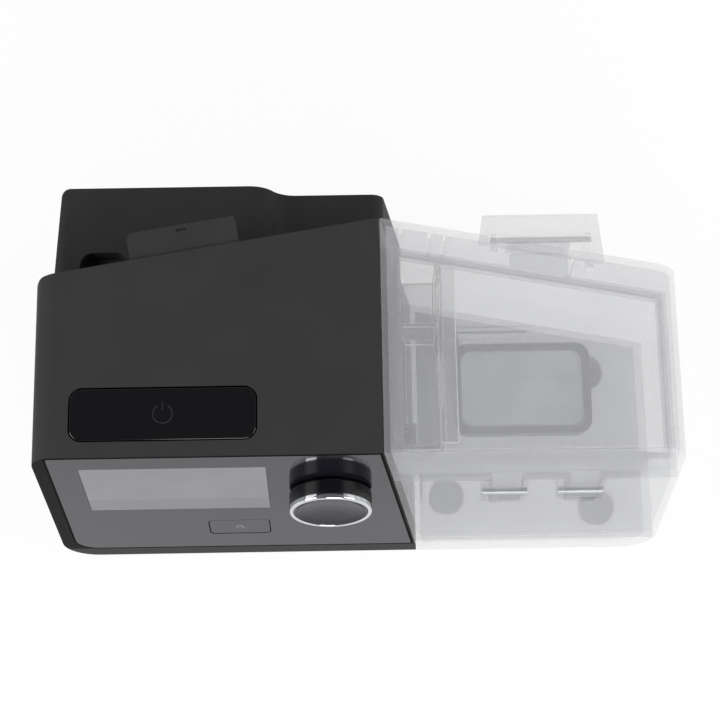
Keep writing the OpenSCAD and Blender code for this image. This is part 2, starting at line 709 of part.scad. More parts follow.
module encoder_body() color(motor_grey) on_front(knob_x, knob_top) difference() {
    union() {
        translate([-6.5, -6.5, -front_board_in]) cube([13, 13, 4.6]);
        translate([0, 0, -front_board_in]) cylinder(r = plunger_r + 1.2, h = front_board_in + 0.4);
    }
    translate([0, 0, -big]) cylinder(r = plunger_r + run, h = 2 * big);
    translate([0, 0, -front_board_in + 1.4 - knob_travel - fit])
        cylinder(r = plunger_r + 1.2 + fit, h = 1.2 + knob_travel + 2 * fit);
}

// ---- Blower ----
motor_top = blower_z + motor_h;
volute_top = motor_top + volute_h;
bearing_r = shaft_r + 3.5;
bearing_h = 3;
bearing_zs = [blower_z + 2, motor_top - 4.6];
stator_ro = 19;
stator_ri = 11.2;
slot_at = (stator_ro + stator_ri) / 2 - 0.4;
slots = 9;
rotor_r = stator_ri - 0.8;
blower_at = [blower_x, blower_y, 0];
module ring(ro, ri, z0, z1) difference() {
    rod_z([0, 0], z0, z1, ro);
    rod_z([0, 0], z0 - 1, z1 + 1, ri);
}
module blower_base() color(duct_grey) translate(blower_at) {
    ring(blower_r, blower_r - blower_wall, blower_z + 1, motor_top);
    ring(blower_r, 3.2, blower_z, blower_z + 2);
    ring(bearing_r + 2, bearing_r + run, blower_z + 1, blower_z + 2 + bearing_h);
    ring(stator_ro, stator_ri, blower_z + 1, blower_z + 4);
    ring(blower_r - 1, blower_r - 4, blower_z + 1, motor_top - 5);
}
module motor_plate() color(duct_grey) translate(blower_at) {
    ring(blower_r - blower_wall - 0.1, bearing_r + run, motor_top - 5, motor_top - 2.6);
    ring(bearing_r + 2, bearing_r + run, motor_top - 5, motor_top - 1.6);
}
module motor_stator() color(copper) translate(blower_at) difference() {
    ring(stator_ro, stator_ri, blower_z + 4, blower_z + 14);
    for (i = [0:slots - 1]) rotate(i * 360 / slots) {
        rod_z([slot_at, 0], blower_z, motor_top, 2.3);
        block([stator_ri - 2, -0.6, blower_z], [slot_at, 0.6, motor_top]);
    }
}
module motor_rotor() color(steel) translate(blower_at) ring(rotor_r, shaft_r, blower_z + 6, blower_z + 13);
module motor_shaft() color(chrome) translate(blower_at)
    rod_z([0, 0], blower_z + 1, volute_top - 5, shaft_r);
module motor_bearings() color(steel) translate(blower_at)
    for (z = bearing_zs) ring(bearing_r, shaft_r + run, z, z + bearing_h);
// Backplate, hub and backward-curved blades
module impeller() color(clear_white) translate(blower_at) {
    ring(impeller_r, shaft_r, motor_top + 1.2, motor_top + 2.6);
    ring(6, shaft_r, motor_top + 1.2, volute_top - 5);
    along_z(motor_top + 2.2, volute_top - 5) intersection() {
        circle(r = impeller_r - 0.3);
        difference() {
            for (i = [0:blades - 1]) rotate(i * 360 / blades) translate([impeller_r * 0.5, 5]) difference() {
                circle(r = impeller_r * 0.62);
                circle(r = impeller_r * 0.62 - 1);
                translate([-impeller_r, -impeller_r * 2]) square([impeller_r * 2, impeller_r * 2]);
                translate([-impeller_r, 0]) square([impeller_r, impeller_r]);
            }
            circle(r = 8);
        }
    }
}
stub_y = blower_y - 16;
stub_z = motor_top + volute_h / 2;
stub_r = volute_h / 2;
module blower_cover() color(duct_grey) difference() {
    union() {
        translate(blower_at) {
            ring(blower_r, blower_r - blower_wall, motor_top, volute_top);
            ring(blower_r - 1, 11, volute_top - 2, volute_top);
            ring(13, 11, volute_top - 1, muffler_z - fit);
        }
        difference() {
            rod_x(blower_x + 20, duct_x - fit, stub_y, stub_z, stub_r);
            translate(blower_at) rod_z([0, 0], 0, volute_top, blower_r - 1);
        }
    }
    difference() {
        rod_x(blower_x + 10, duct_x, stub_y, stub_z, stub_r - 1.5);
        translate(blower_at) rod_z([0, 0], 0, volute_top, blower_r - 5);
    }
}
module blower_mounts() color(rubber_black) translate(blower_at)
    for (i = [0:2]) rotate(30 + i * 120) rod_z([blower_r - 7, 0], floor_top, blower_z, 5);

// ---- Ducts, muffler, filter ----
duct_x = 112;
duct_lo = [duct_x, blower_y - 26, motor_top - 2];
duct_hi = [board_hi.x, out_port_y + port_r + 3, out_port_z + port_r + 3];
module pressure_duct() color(duct_grey) difference() {
    union() {
        block(duct_lo, duct_hi);
        port_collar(out_port_y, out_port_z, duct_hi.x);
    }
    block(duct_lo + [1, 1, 1] * duct_wall, duct_hi - [1, 1, 1] * duct_wall);
    rod_x(duct_x - 1, duct_x + 3, stub_y, stub_z, stub_r - 1.5);
    rod_x(duct_hi.x - 3, big, out_port_y, out_port_z, port_r - duct_wall);
}
// A round collar that reaches from a duct to the slanted wall's seal
module port_collar(y, z, x0) rod_x(x0 - 1, split_x(z + port_r) - wall * split_len - 1.5, y, z, port_r);
return_lo = [duct_x, back_port_y - port_r - 2, outlet_z - outlet_r - 2];
return_hi = [board_hi.x + 5, main_back(duct_x) - wall - 1, back_port_z + port_r + 3];
module return_duct() color(duct_grey) difference() {
    union() {
        block(return_lo, return_hi);
        port_collar(back_port_y, back_port_z, return_hi.x);
    }
    block(return_lo + [1, 1, 1] * duct_wall, return_hi - [1, 1, 1] * duct_wall);
    rod_x(return_hi.x - 3, big, back_port_y, back_port_z, port_r - duct_wall);
    rod_y(outlet_x, return_hi.y - 3, rear_d, outlet_z, outlet_r - outlet_wall);
}
outlet_y = return_hi.y;
outlet_flange = outlet_r + 3;
// Round spigot for the breathing hose
module air_outlet() color(duct_grey) difference() {
    union() {
        rod_y(outlet_x, outlet_y, rear_d - 2, outlet_z, outlet_r);
        rod_y(outlet_x, outlet_y, outlet_y + 2, outlet_z, outlet_flange);
        rod_y(outlet_x, rear_d - outlet_well_d - 2, rear_d - outlet_well_d, outlet_z, outlet_flange);
    }
    rod_y(outlet_x, 0, rear_d, outlet_z, outlet_r - outlet_wall);
}
seal_lip = 2.7;
module port_seals() color(rubber_black) for (p = [[out_port_y, out_port_z], [back_port_y, back_port_z]])
    intersection() {
        difference() {
            union() {
                rod_x(main_w - 8, big, p[0], p[1], port_r + 2);
                intersection() {
                    rod_x(main_w - 8, big, p[0], p[1], port_r + seal_lip);
                    slanted_band(-wall - 1.2, -wall);
                }
            }
            rod_x(0, big, p[0], p[1], port_r - 2);
            rod_x(0, split_x(p[1] + port_r) - wall * split_len - 0.5, p[0], p[1], port_r + run);
        }
        slanted_band(-wall - 4, -0.1);
    }
// A layer parallel to the wall between the units, between two distances to its right
module slanted_band(t0, t1) along_y(-big, big) polygon([
    [split_x(0) + t0 * split_len, 0], [split_x(0) + t1 * split_len, 0],
    [split_x(body_h) + t1 * split_len, body_h], [split_x(body_h) + t0 * split_len, body_h]
]);
// The muffler's block, drawn in by in on every side but its top, which is drawn in by top
module muffler_box(in, top) block(
    [muffler_lo.x + in, muffler_lo.y + in, muffler_z + min(in, 2)],
    [muffler_hi.x - in, muffler_hi.y - in, muffler_z + muffler_h - top]
);
module inlet_muffler() color(duct_grey) difference() {
    union() {
        muffler_box(0, 0);
        block([snorkel_x[0], muffler_hi.y - 1, muffler_z], [snorkel_x[1], filter_y - 1, snorkel_top]);
    }
    muffler_box(2, 2);
    block(
        [snorkel_x[0] + 1.5, muffler_hi.y - 3, muffler_z + 1.5],
        [snorkel_x[1] - 1.5, rear_d, snorkel_top - 1.5]
    );
    rod_z(blower_at, muffler_z - 1, muffler_z + 3, 11);
}
module muffler_foam() color(foam_grey) difference() {
    muffler_box(3, 3);
    rod_z(blower_at, muffler_z, muffler_z + muffler_h - 8, 13);
    block([snorkel_x[0], blower_y, muffler_z], [snorkel_x[1], rear_d, snorkel_top + 4]);
}
module filter_cover() color(shell_black) difference() {
    block([filter_x + fit, rear_d - filter_cover_t, filter_z + fit],
        [filter_x + filter_w - fit, rear_d, filter_z + filter_h - fit]);
    for (z = [filter_z + 9:5:filter_z + filter_h - 13])
        block([filter_x + 6, rear_d - 5, z], [filter_x + filter_w - 6, rear_d + 1, z + 2.4]);
    block([filter_x + filter_w / 2 - 7, rear_d - 1.4, filter_z + filter_h - 5.5],
        [filter_x + filter_w / 2 + 7, rear_d + 1, filter_z + filter_h - fit + 1]);
}
module air_filter() color(clear_white)
    block([filter_x + fit, filter_y + fit, filter_z + fit],
        [filter_x + filter_w - fit, rear_d - filter_cover_t - fit, filter_z + filter_h - fit]);

// ---- Rear power inlet and memory card ----
module dc_socket() color(rubber_black) {
    difference() {
        union() {
            block([dc_x - 6.2, rear_d - dc_depth - 4, dc_z - 6.2], [dc_x + 6.2, rear_d - 0.4, dc_z + 6.2]);
            block([dc_x - 7.5, rear_d - wall - 2, dc_z - 7.5], [dc_x + 7.5, rear_d - wall, dc_z + 7.5]);
        }
        rod_y(dc_x, rear_d - dc_depth, rear_d, dc_z, dc_r);
    }
    rod_y(dc_x, rear_d - dc_depth - 1, rear_d - 1.4, dc_z, dc_pin_r);
}
module card_socket() color(steel) difference() {
    block([8, card_y - 2, card_z - 1.6], [card_l + 5, card_y + card_w + 2, board_z]);
    block([7, card_y - fit, card_z - fit], [card_l + 3, card_y + card_w + fit, card_z + card_t + fit]);
}
module sd_card() color(rubber_black) translate([1, card_y, card_z]) linear_extrude(card_t) polygon([
    [0, 0], [card_l - 4, 0], [card_l, 4], [card_l, card_w], [0, card_w]
]);

// ---- Feet and screws ----
module rubber_feet() color(rubber_black)
    for (p = concat(main_feet, tray_feet)) rod_z(p, 0, foot_out + foot_seat, foot_r);
module screw(z0, head, length) {
    rod_z([0, 0], z0, z0 + head, head_r);
    rod_z([0, 0], z0, z0 + length, screw_r);
}
module housing_screws() color(steel) {
    for (p = main_screws) translate(p) difference() {
        screw(foot_out + 1.3, floor_top + 0.5 - foot_out - 1.3, base_h + 9);
        rod_z([0, 0], 0, foot_out + 2.5, 1.2);
    }
    for (y = lug_ys) translate(lug_screw(y)) screw(foot_out + 0.4, 1.4, lug_z[1] - foot_out - 1);
}
module board_screws() color(steel) {
    for (p = board_bosses) {
        rod_z(p, board_z - 1.6, board_z, 2.4);
        rod_z(p, board_z - 1, board_z + 7, 1);
    }
    for (p = front_bosses) on_front(p.x, p.y, -front_board_in - board_t) {
        translate([0, 0, -1.5]) cylinder(r = 2.4, h = 1.5);
        translate([0, 0, -1]) cylinder(r = 1, h = 5.5);
    }
}

// ---- Humidifier base and heater ----
module locating_pin() color(steel) {
    rod_x(split_x(pin_z) - 5, split_x(pin_z) + 6, pin_y, pin_z, pin_rod);
    rod_x(split_x(pin_z) - 5.2, pin_head_x, pin_y, pin_z, 3.6);
}
// The head lies against the inner side of the slanted wall
pin_head_x = split_x(pin_z + 3.6) - wall * split_len;
tray_floor = foot_out + 2.5;
module humidifier_base() color(clear_white) difference() {
    union() {
        intersection() {
            difference() {
                tank_env();
                intersection() {
                    tank_env(2.5);
                    slab(tray_floor, tray_h - 2);
                }
            }
            slab(foot_out, tray_h);
        }
        for (y = lug_ys)
            block([split_x(lug_z[0]) - lug_l, y[0], lug_z[0]], [split_x(lug_z[0]) + 4, y[1], lug_z[1]]);
        for (r = rails) block([rail_x[0], r[0], tray_h - 1], [rail_x[1], r[0] + r[1], tray_h + rail_h]);
    }
    top_plate(heater_x - fit, heater_y - fit, heater_w + 2 * fit, heater_d + 2 * fit, heater_r + fit,
        tray_floor, tray_h + 1);
    for (p = tray_feet) rod_z(p, 0, foot_out + foot_seat, foot_r + fit);
    for (y = lug_ys) rod_z(lug_screw(y), 0, lug_z[1] - 0.4, screw_r + run);
}
heater_z = tray_h + 0.1 - heater_t;
module heater_plate() color(steel)
    top_plate(heater_x, heater_y, heater_w, heater_d, heater_r, heater_z, heater_z + heater_t);
module heater_element() color(gold)
    top_plate(heater_x + 4, heater_y + 4, heater_w - 8, heater_d - 8, 3, heater_z - 0.6, heater_z);
module heater_carrier() color(rubber_black) difference() {
    top_plate(heater_x, heater_y, heater_w, heater_d, heater_r, tray_floor, heater_z);
    top_plate(heater_x + 3.6, heater_y + 3.6, heater_w - 7.2, heater_d - 7.2, 3,
        heater_z - 0.7, heater_z + 1);
    top_plate(heater_x + 8, heater_y + 8, heater_w - 16, heater_d - 16, 2,
        tray_floor - 1, heater_z + 1);
}

// ---- Water tank ----
plate_t = 1.2;
plate_lo = [heater_x - 1.5, heater_y - 1.5];
plate_size = [heater_w + 3, heater_d + 3];
plate_z = heater_z + heater_t + fit;
module water_tank() color(clear_white) difference() {
    union() {
        intersection() {
            difference() {
                tank_env();
                intersection() {
                    tank_env(clear_wall);
                    slab(tank_floor, rim_z + 1);
                }
            }
            slab(tank_z, rim_z);
        }
        intersection() {
            difference() {
                tank_env(0.5);
                tank_env(rim_w, rim_front);
            }
            slab(rim_z - rim_t, rim_z);
        }
        intersection() {
            tank_env(0.5);
            union() {
                for (x = arm_xs)
                    front_plate(x - key_gap - 3, hinge_top - hinge_drop, arm_w + 2 * key_gap + 6,
                        hinge_drop + 8, 1, -hinge_in - eye_r - 2.2, 0);
                for (r = rails)
                    block([main_w, r[0] - 2, tank_z], [rail_x[1] + 2.5, r[0] + r[1] + 2, tank_floor + 1.6]);
                rod_x(main_w, split_x(pin_z) + 9, pin_y, pin_z, 5);
            }
        }
        block([tab_x + 13, tank_back(tab_x + tab_w - 13) - 0.5, rim_z - 1.6],
            [tab_x + tab_w - 13, latch_y - 1.9, rim_z]);
    }
    for (x = arm_xs) arm_pocket(x);
    for (x = arm_xs) on_front(x - 4.6, hinge_top, -hinge_in)
        rotate([0, 90, 0]) cylinder(r = pin_r + run, h = arm_w + 9.2);
    for (r = rails)
        block([main_w, r[0] - 0.4, 0], [rail_x[1] + 0.5, r[0] + r[1] + 0.4, tray_h + rail_h + 0.4]);
    top_plate(plate_lo.x, plate_lo.y, plate_size.x, plate_size.y, heater_r + 1.5, 0, gasket_top);
    top_plate(plate_lo.x + 4, plate_lo.y + 4, plate_size.x - 8, plate_size.y - 8, heater_r,
        0, tank_floor + 1);
    port_hole(out_port_y, out_port_z, port_r);
    port_hole(back_port_y, back_port_z, port_r);
    rod_x(main_w, split_x(pin_z) + 7, pin_y, pin_z, pin_rod + 0.7);
    seal_groove();
}
module arm_pocket(x) {
    front_plate(x - key_gap, hinge_top - hinge_drop - 6, arm_w + 2 * key_gap, hinge_drop + 6 + eye_r + 1.5,
        0.5, -hinge_in - 1, 2);
    front_plate(x - key_gap, hinge_top - eye_r - 2, arm_w + 2 * key_gap, 2 * eye_r + 3.5,
        0.5, -hinge_in - eye_r - 0.6, 2);
}
groove_t = 1.5;
module seal_ring(t0, t1, z0, z1) intersection() {
    difference() {
        tank_env(t0, rim_front - rim_w + t0);
        tank_env(t1, rim_front - rim_w + t1);
    }
    slab(z0, z1);
}
module seal_groove() seal_ring(1.4, 3.1, rim_z - groove_t, rim_z + 1);
module lid_seal() color(rubber_black) seal_ring(1.5, 3, rim_z - groove_t, rim_z + 0.5);
gasket_top = plate_z + plate_t + 0.6;
module tank_heat_plate() color(steel)
    top_plate(plate_lo.x + 0.1, plate_lo.y + 0.1, plate_size.x - 0.2, plate_size.y - 0.2,
        heater_r + 1.4, plate_z, plate_z + plate_t);
module plate_gasket() color(rubber_black) difference() {
    top_plate(plate_lo.x + 0.1, plate_lo.y + 0.1, plate_size.x - 0.2, plate_size.y - 0.2,
        heater_r + 1.4, plate_z + plate_t, gasket_top);
    top_plate(plate_lo.x + 3.6, plate_lo.y + 3.6, plate_size.x - 7.2, plate_size.y - 7.2,
        heater_r, 0, tank_floor);
}
// The insert that leads the air in over the water and out again
module air_baffle() color(clear_white) difference() {
    union() {
        intersection() {
            tank_env(clear_wall + 0.2);
            union() {
                block([main_w, baffle_lo_y, baffle_z], [baffle_x + baffle_t, back_end, baffle_z + baffle_t]);
                block([baffle_x, baffle_lo_y, baffle_z], [baffle_x + baffle_t, back_end, baffle_top]);
                for (y = [divider_y, baffle_lo_y])
                    block([main_w, y, baffle_z], [baffle_x + 1, y + baffle_t, baffle_top]);
            }
        }
        block([baffle_x, baffle_lo_y, baffle_top - 0.8], [baffle_x + baffle_t, flange_end, flange_top]);
        block([baffle_x, baffle_lo_y, flange_top - 1.6], [baffle_x + baffle_flange, flange_end, flange_top]);
    }
    for (y = [[30, 50], [70, flange_end - 3.4]])
        block([baffle_x - 1, y[0], baffle_top - 7.8], [baffle_x + baffle_t + 1, y[1], flange_top - 4]);
}
baffle_top = rim_z - rim_t - 0.2;
flange_top = seam_z + baffle_rise;
divider_y = 64;
back_end = tank_back(baffle_x + baffle_t) - clear_wall - 0.6;
flange_end = tank_back(baffle_x + baffle_flange) - rim_w - 2.4;
module hinge_pins() color(steel) for (x = arm_xs) on_front(x - 3.4, hinge_top, -hinge_in)
    rotate([0, 90, 0]) cylinder(r = pin_r, h = arm_w + 6.8);

// ---- Chamber lid and its latch ----
lid_z = seam_z;
module chamber_lid() color(clear_white) difference() {
    union() {
        intersection() {
            difference() {
                tank_env();
                intersection() {
                    tank_env(clear_wall);
                    slab(0, body_h);
                }
            }
            slab(lid_z, body_h);
        }
        intersection() {
            difference() {
                tank_env(0.5);
                tank_env(rim_w, rim_front);
            }
            slab(lid_z, lid_z + 2);
        }
        for (x = arm_xs) {
            front_plate(x, hinge_top - hinge_drop - 6, arm_w, hinge_drop + 6, 0.6, -3.2, -0.2);
            on_front(x, hinge_top, -hinge_in) rotate([0, 90, 0]) cylinder(r = eye_r, h = arm_w);
        }
        for (x = rib_xs)
            block([x, tank_back(x) - clear_wall - 2.6, lid_z + 6],
                [x + 1.4, tank_back(x + 1.4) - 1, body_h - 1]);
        for (x = latch_lugs) latch_lug(x);
    }
    for (x = arm_xs) on_front(x - 1, hinge_top, -hinge_in)
        rotate([0, 90, 0]) cylinder(r = pin_r + run, h = arm_w + 2);
    rod_x(latch_lugs[0] - 1, latch_lugs[1] + lug_t + 1, latch_y, latch_z, latch_pin_r + run);
}
lug_t = 3;
latch_pin_r = 1.2;
latch_r = 2.6;
latch_lugs = [tab_x + 4, tab_x + tab_w - 4 - lug_t];
module latch_lug(x) {
    rod_x(x, x + lug_t, latch_y, latch_z, latch_r);
    block([x, tank_back(x) - 1.5, latch_z - latch_r], [x + lug_t, latch_y, latch_z + latch_r]);
}
module latch_pin() color(steel)
    rod_x(latch_lugs[0] + 0.2, latch_lugs[1] + lug_t - 0.2, latch_y, latch_z, latch_pin_r);
// Finger tab with a raised lip, and the snap hook below its pivot
module lid_latch() color(clear_white) difference() {
    union() {
        x0 = latch_lugs[0] + lug_t + fit;
        x1 = latch_lugs[1] - fit;
        rod_x(x0, x1, latch_y, latch_z, latch_r);
        difference() {
            along_z(latch_z - 1, latch_z + 1) polygon(outline([
                [tab_x - 1, tank_back(tab_x) + latch_gap, 0.8],
                [tab_x + tab_w + 1, tank_back(tab_x + tab_w) + latch_gap, 0.8],
                [tab_x + tab_w - 1, tab_y, 1.5], [tab_x + 1, tab_y, 1.5]
            ]));
            for (x = latch_lugs)
                block([x - fit, 0, latch_z - 2], [x + lug_t + fit, latch_y + latch_r + fit, latch_z + 2]);
        }
        block([tab_x + 1, tab_y - 1.2, latch_z - 1], [tab_x + tab_w - 1, tab_y, latch_z + 2]);
        for (x = [1, 4.5, tab_w - 7.5, tab_w - 2])
            block([tab_x + x, tab_y - 6, latch_z], [tab_x + x + 1, tab_y - 0.5, latch_z + 1.8]);
        block([tab_x + 12, latch_y + 0.5, rim_z - 5], [tab_x + tab_w - 12, latch_y + 2.3, latch_z]);
        block([tab_x + 14, latch_y - 0.6, rim_z - 5], [tab_x + tab_w - 14, latch_y + 1.4, rim_z - 2.6]);
    }
    rod_x(latch_lugs[0], latch_lugs[1] + lug_t, latch_y, latch_z, latch_pin_r + run);
}

placed() lower_housing();
placed() top_cover();
placed() rear_cover();
placed() front_panel();
placed() display_glass();
placed() display_module();
placed() front_board();
placed() home_button();
placed() home_switch();
placed() power_button();
placed() power_switch();
placed() control_board();
placed() speaker();
placed() knob_body();
placed() knob_ring();
placed() knob_cap();
placed() encoder_shaft();
placed() encoder_plunger();
placed() encoder_body();
placed() blower_base();
placed() blower_cover();
placed() blower_mounts();
placed() motor_plate();
placed() motor_stator();
placed() motor_rotor();
placed() motor_shaft();
placed() motor_bearings();
placed() impeller();
placed() inlet_muffler();
placed() muffler_foam();
placed() pressure_duct();
placed() return_duct();
placed() air_outlet();
placed() port_seals();
placed() filter_cover();
placed() air_filter();
placed() dc_socket();
placed() card_socket();
placed() sd_card();
placed() rubber_feet();
placed() housing_screws();
placed() board_screws();
placed() locating_pin();
placed() humidifier_base();
placed() heater_plate();
placed() heater_element();
placed() heater_carrier();
placed() water_tank();
placed() tank_heat_plate();
placed() plate_gasket();
placed() air_baffle();
placed() lid_seal();
placed() hinge_pins();
placed() chamber_lid();
placed() lid_latch();
placed() latch_pin();
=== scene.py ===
"""Looks of a bedside breathing machine with its clear humidifier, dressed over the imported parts."""

import json
import logging
import math
from dataclasses import dataclass, field
from enum import Enum
from typing import Callable, Sequence

import bpy
from mathutils import Matrix, Vector

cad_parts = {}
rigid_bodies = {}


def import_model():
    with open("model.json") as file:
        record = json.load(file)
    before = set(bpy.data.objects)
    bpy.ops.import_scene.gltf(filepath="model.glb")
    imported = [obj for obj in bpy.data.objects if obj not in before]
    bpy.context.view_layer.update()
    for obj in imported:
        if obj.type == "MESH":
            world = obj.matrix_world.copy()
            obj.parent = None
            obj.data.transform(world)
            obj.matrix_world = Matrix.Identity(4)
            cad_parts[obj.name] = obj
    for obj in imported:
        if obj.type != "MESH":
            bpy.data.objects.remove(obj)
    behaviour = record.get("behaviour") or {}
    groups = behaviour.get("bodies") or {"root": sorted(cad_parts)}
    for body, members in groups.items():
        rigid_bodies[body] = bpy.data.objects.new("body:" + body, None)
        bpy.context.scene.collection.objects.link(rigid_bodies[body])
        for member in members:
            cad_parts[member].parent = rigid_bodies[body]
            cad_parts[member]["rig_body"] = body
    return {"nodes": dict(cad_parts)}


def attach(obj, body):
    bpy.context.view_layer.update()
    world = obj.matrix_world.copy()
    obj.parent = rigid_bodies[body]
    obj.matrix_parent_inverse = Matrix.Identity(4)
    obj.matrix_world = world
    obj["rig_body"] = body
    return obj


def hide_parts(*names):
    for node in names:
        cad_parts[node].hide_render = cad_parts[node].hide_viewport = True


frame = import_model()
log = logging.getLogger("machine")
MM = 0.001

# The unit's own grid: x from its left side, y back from the top front edge, z up from the table
BODY_H = 116.0
WIDTH = 264.0
ORIGIN_X = WIDTH / 2
ORIGIN_Y = 56.578747
FRONT_LEAN = math.radians(8)


def at(x: float, y: float, z: float) -> Vector:
    """A point of the unit's own grid, in mm, as a point of the frame in metres."""
    return Vector((x - ORIGIN_X, y - ORIGIN_Y, z)) * MM


def on_front(x: float, drop: float, out: float = 0.0) -> Vector:
    """A point on the leaning front face: x from the left, drop down the face, out of the face, in mm."""
    sin, cos = math.sin(FRONT_LEAN), math.cos(FRONT_LEAN)
    return at(x, -drop * sin - out * cos, BODY_H - drop * cos + out * sin)


# ---------------------------------------------------------------- materials


def linear(code: str) -> tuple[float, float, float, float]:
    """Turns an sRGB hex colour into the linear colour that shaders use.

    Args:
        code: a colour such as "#3a3a3c".

    Returns:
        Linear red, green, blue and an alpha of 1.
    """
    parts = [int(code[i : i + 2], 16) / 255 for i in (1, 3, 5)]
    red, green, blue = (v / 12.92 if v <= 0.04045 else ((v + 0.055) / 1.055) ** 2.4 for v in parts)
    return red, green, blue, 1.0


def add_node(tree: bpy.types.NodeTree, kind: str, sockets: dict | None = None, **settings) -> bpy.types.Node:
    """Adds a node to a tree with its settings, values and links.

    Args:
        tree: the node tree.
        kind: the node's type, such as "ShaderNodeTexNoise".
        sockets: input name or number to a value, or to the output socket that feeds it.
        settings: properties of the node itself.

    Returns:
        The new node.
    """
    node = tree.nodes.new(kind)
    for name, value in settings.items():
        setattr(node, name, value)
    for key, value in (sockets or {}).items():
        if isinstance(value, bpy.types.NodeSocket):
            tree.links.new(value, node.inputs[key])
        else:
            node.inputs[key].default_value = value
    return node


@dataclass(frozen=True)
class Finish:
    """A surface: its real material, its colour and gloss, and the fine pattern that its making leaves.

    grain is the size of one bump of the surface in mm and depth its height in mm; mottle is how
    far the colour and the gloss wander over patches of patch mm.
    """

    name: str
    slot: str
    colour: str
    roughness: float = 0.4
    ior: float = 1.5
    metallic: float = 0.0
    gloss_tint: str = "#ffffff"
    grain: float = 0.5
    depth: float = 0.01
    mottle: float = 0.06
    patch: float = 25.0
    centre: tuple[float, float, float] = (0.0, 0.0, 0.0)
    stretch: tuple[float, float, float] = (1.0, 1.0, 1.0)

    def shader(self, tree: bpy.types.NodeTree) -> bpy.types.Node:
        """Adds the main shader with what is the same all over the surface."""
        sockets = {"Base Color": linear(self.colour), "Roughness": self.roughness, "Metallic": self.metallic}
        if not self.metallic:
            sockets |= {"IOR": self.ior, "Specular Tint": linear(self.gloss_tint)}
        return add_node(tree, "ShaderNodeBsdfPrincipled", sockets)

    def place(self, tree: bpy.types.NodeTree) -> bpy.types.NodeSocket:
        """Adds the coordinates of the patterns, centred on the piece, in metres."""
        coords = add_node(tree, "ShaderNodeTexCoord")
        mapping = add_node(
            tree,
            "ShaderNodeMapping",
            {"Vector": coords.outputs["Object"], "Location": [-c * MM for c in self.centre], "Scale": self.stretch},
        )
        return mapping.outputs["Vector"]

    def noise(self, tree: bpy.types.NodeTree, place: bpy.types.NodeSocket, size: float, detail: float = 2.0):
        """Adds a noise whose bumps are about size mm wide and returns its value."""
        sockets = {"Vector": place, "Scale": 1 / (size * MM), "Detail": detail}
        return add_node(tree, "ShaderNodeTexNoise", sockets).outputs["Fac"]

    def vary(self, tree: bpy.types.NodeTree, value: bpy.types.NodeSocket, low: float, high: float):
        """Maps a 0 to 1 pattern to the range low to high and returns it."""
        sockets = {"Value": value, "From Min": 0.3, "From Max": 0.7, "To Min": low, "To Max": high}
        return add_node(tree, "ShaderNodeMapRange", sockets).outputs["Result"]

    def tint(self, tree: bpy.types.NodeTree, value: bpy.types.NodeSocket, dark: str, light: str):
        """Mixes two colours by a 0 to 1 pattern and returns the colour."""
        mix = add_node(tree, "ShaderNodeMix", data_type="RGBA")
        for key, item in ((0, value), (6, linear(dark)), (7, linear(light))):
            if isinstance(item, bpy.types.NodeSocket):
                tree.links.new(item, mix.inputs[key])
            else:
                mix.inputs[key].default_value = item
        return mix.outputs[2]

    def bump(self, tree: bpy.types.NodeTree, height: bpy.types.NodeSocket, depth: float) -> bpy.types.NodeSocket:
        """Adds a bump of depth mm and returns its normal."""
        sockets = {"Height": height, "Distance": depth * MM, "Strength": 1.0}
        return add_node(tree, "ShaderNodeBump", sockets).outputs["Normal"]

    def pattern(self, tree: bpy.types.NodeTree, shader: bpy.types.Node) -> None:
        """Gives the plain moulded surface its grain and its slight change of tone and gloss."""
        place = self.place(tree)
        slow = self.noise(tree, place, self.patch)
        tone = [shade(self.colour, 1 - self.mottle), shade(self.colour, 1 + self.mottle)]
        low, high = self.roughness * (1 - self.mottle), min(1.0, self.roughness * (1 + self.mottle))
        tree.links.new(self.tint(tree, slow, *tone), shader.inputs["Base Color"])
        tree.links.new(self.vary(tree, slow, low, high), shader.inputs["Roughness"])
        tree.links.new(self.bump(tree, self.noise(tree, place, self.grain), self.depth), shader.inputs["Normal"])

    def material(self) -> bpy.types.Material:
        """Makes the material once and returns it, or the one made before."""
        made = bpy.data.materials.get(self.name)
        if made:
            return made
        made = bpy.data.materials.new(self.name)
        made.use_nodes = True
        tree = made.node_tree
        tree.nodes.clear()
        shader = self.shader(tree)
        self.pattern(tree, shader)
        add_node(tree, "ShaderNodeOutputMaterial", {"Surface": shader.outputs["BSDF"]})
        return made


def shade(code: str, factor: float) -> str:
    """A colour made lighter or darker by a factor."""
    parts = [min(255, round(int(code[i : i + 2], 16) * factor)) for i in (1, 3, 5)]
    return "#{:02x}{:02x}{:02x}".format(*parts)


@dataclass(frozen=True)
class SpunMetal(Finish):
    """Metal turned on a lathe: fine rings round its centre that spread the light to both sides."""

    pitch: float = 0.35
    turn: tuple[float, float, float] = (math.pi / 2 - FRONT_LEAN, 0.0, 0.0)

    def pattern(self, tree: bpy.types.NodeTree, shader: bpy.types.Node) -> None:
        """Draws the rings of the lathe round the piece's own axis."""
        coords = add_node(tree, "ShaderNodeTexCoord")
        centre = [c * MM for c in self.centre]
        sockets = {"Vector": coords.outputs["Object"], "Location": centre, "Rotation": self.turn}
        place = add_node(tree, "ShaderNodeMapping", sockets, vector_type="TEXTURE").outputs["Vector"]
        waves = add_node(
            tree,
            "ShaderNodeTexWave",
            {"Vector": place, "Scale": math.pi / 10 / (self.pitch * MM), "Distortion": 0.0, "Detail": 0.0},
            wave_type="RINGS",
            rings_direction="Z",
        ).outputs["Fac"]
        tone = [shade(self.colour, 1 - self.mottle), shade(self.colour, 1 + self.mottle)]
        tree.links.new(self.tint(tree, waves, *tone), shader.inputs["Base Color"])
        low, high = self.roughness * 0.85, self.roughness * 1.15
        tree.links.new(self.vary(tree, waves, low, high), shader.inputs["Roughness"])
        tree.links.new(self.bump(tree, waves, self.depth), shader.inputs["Normal"])


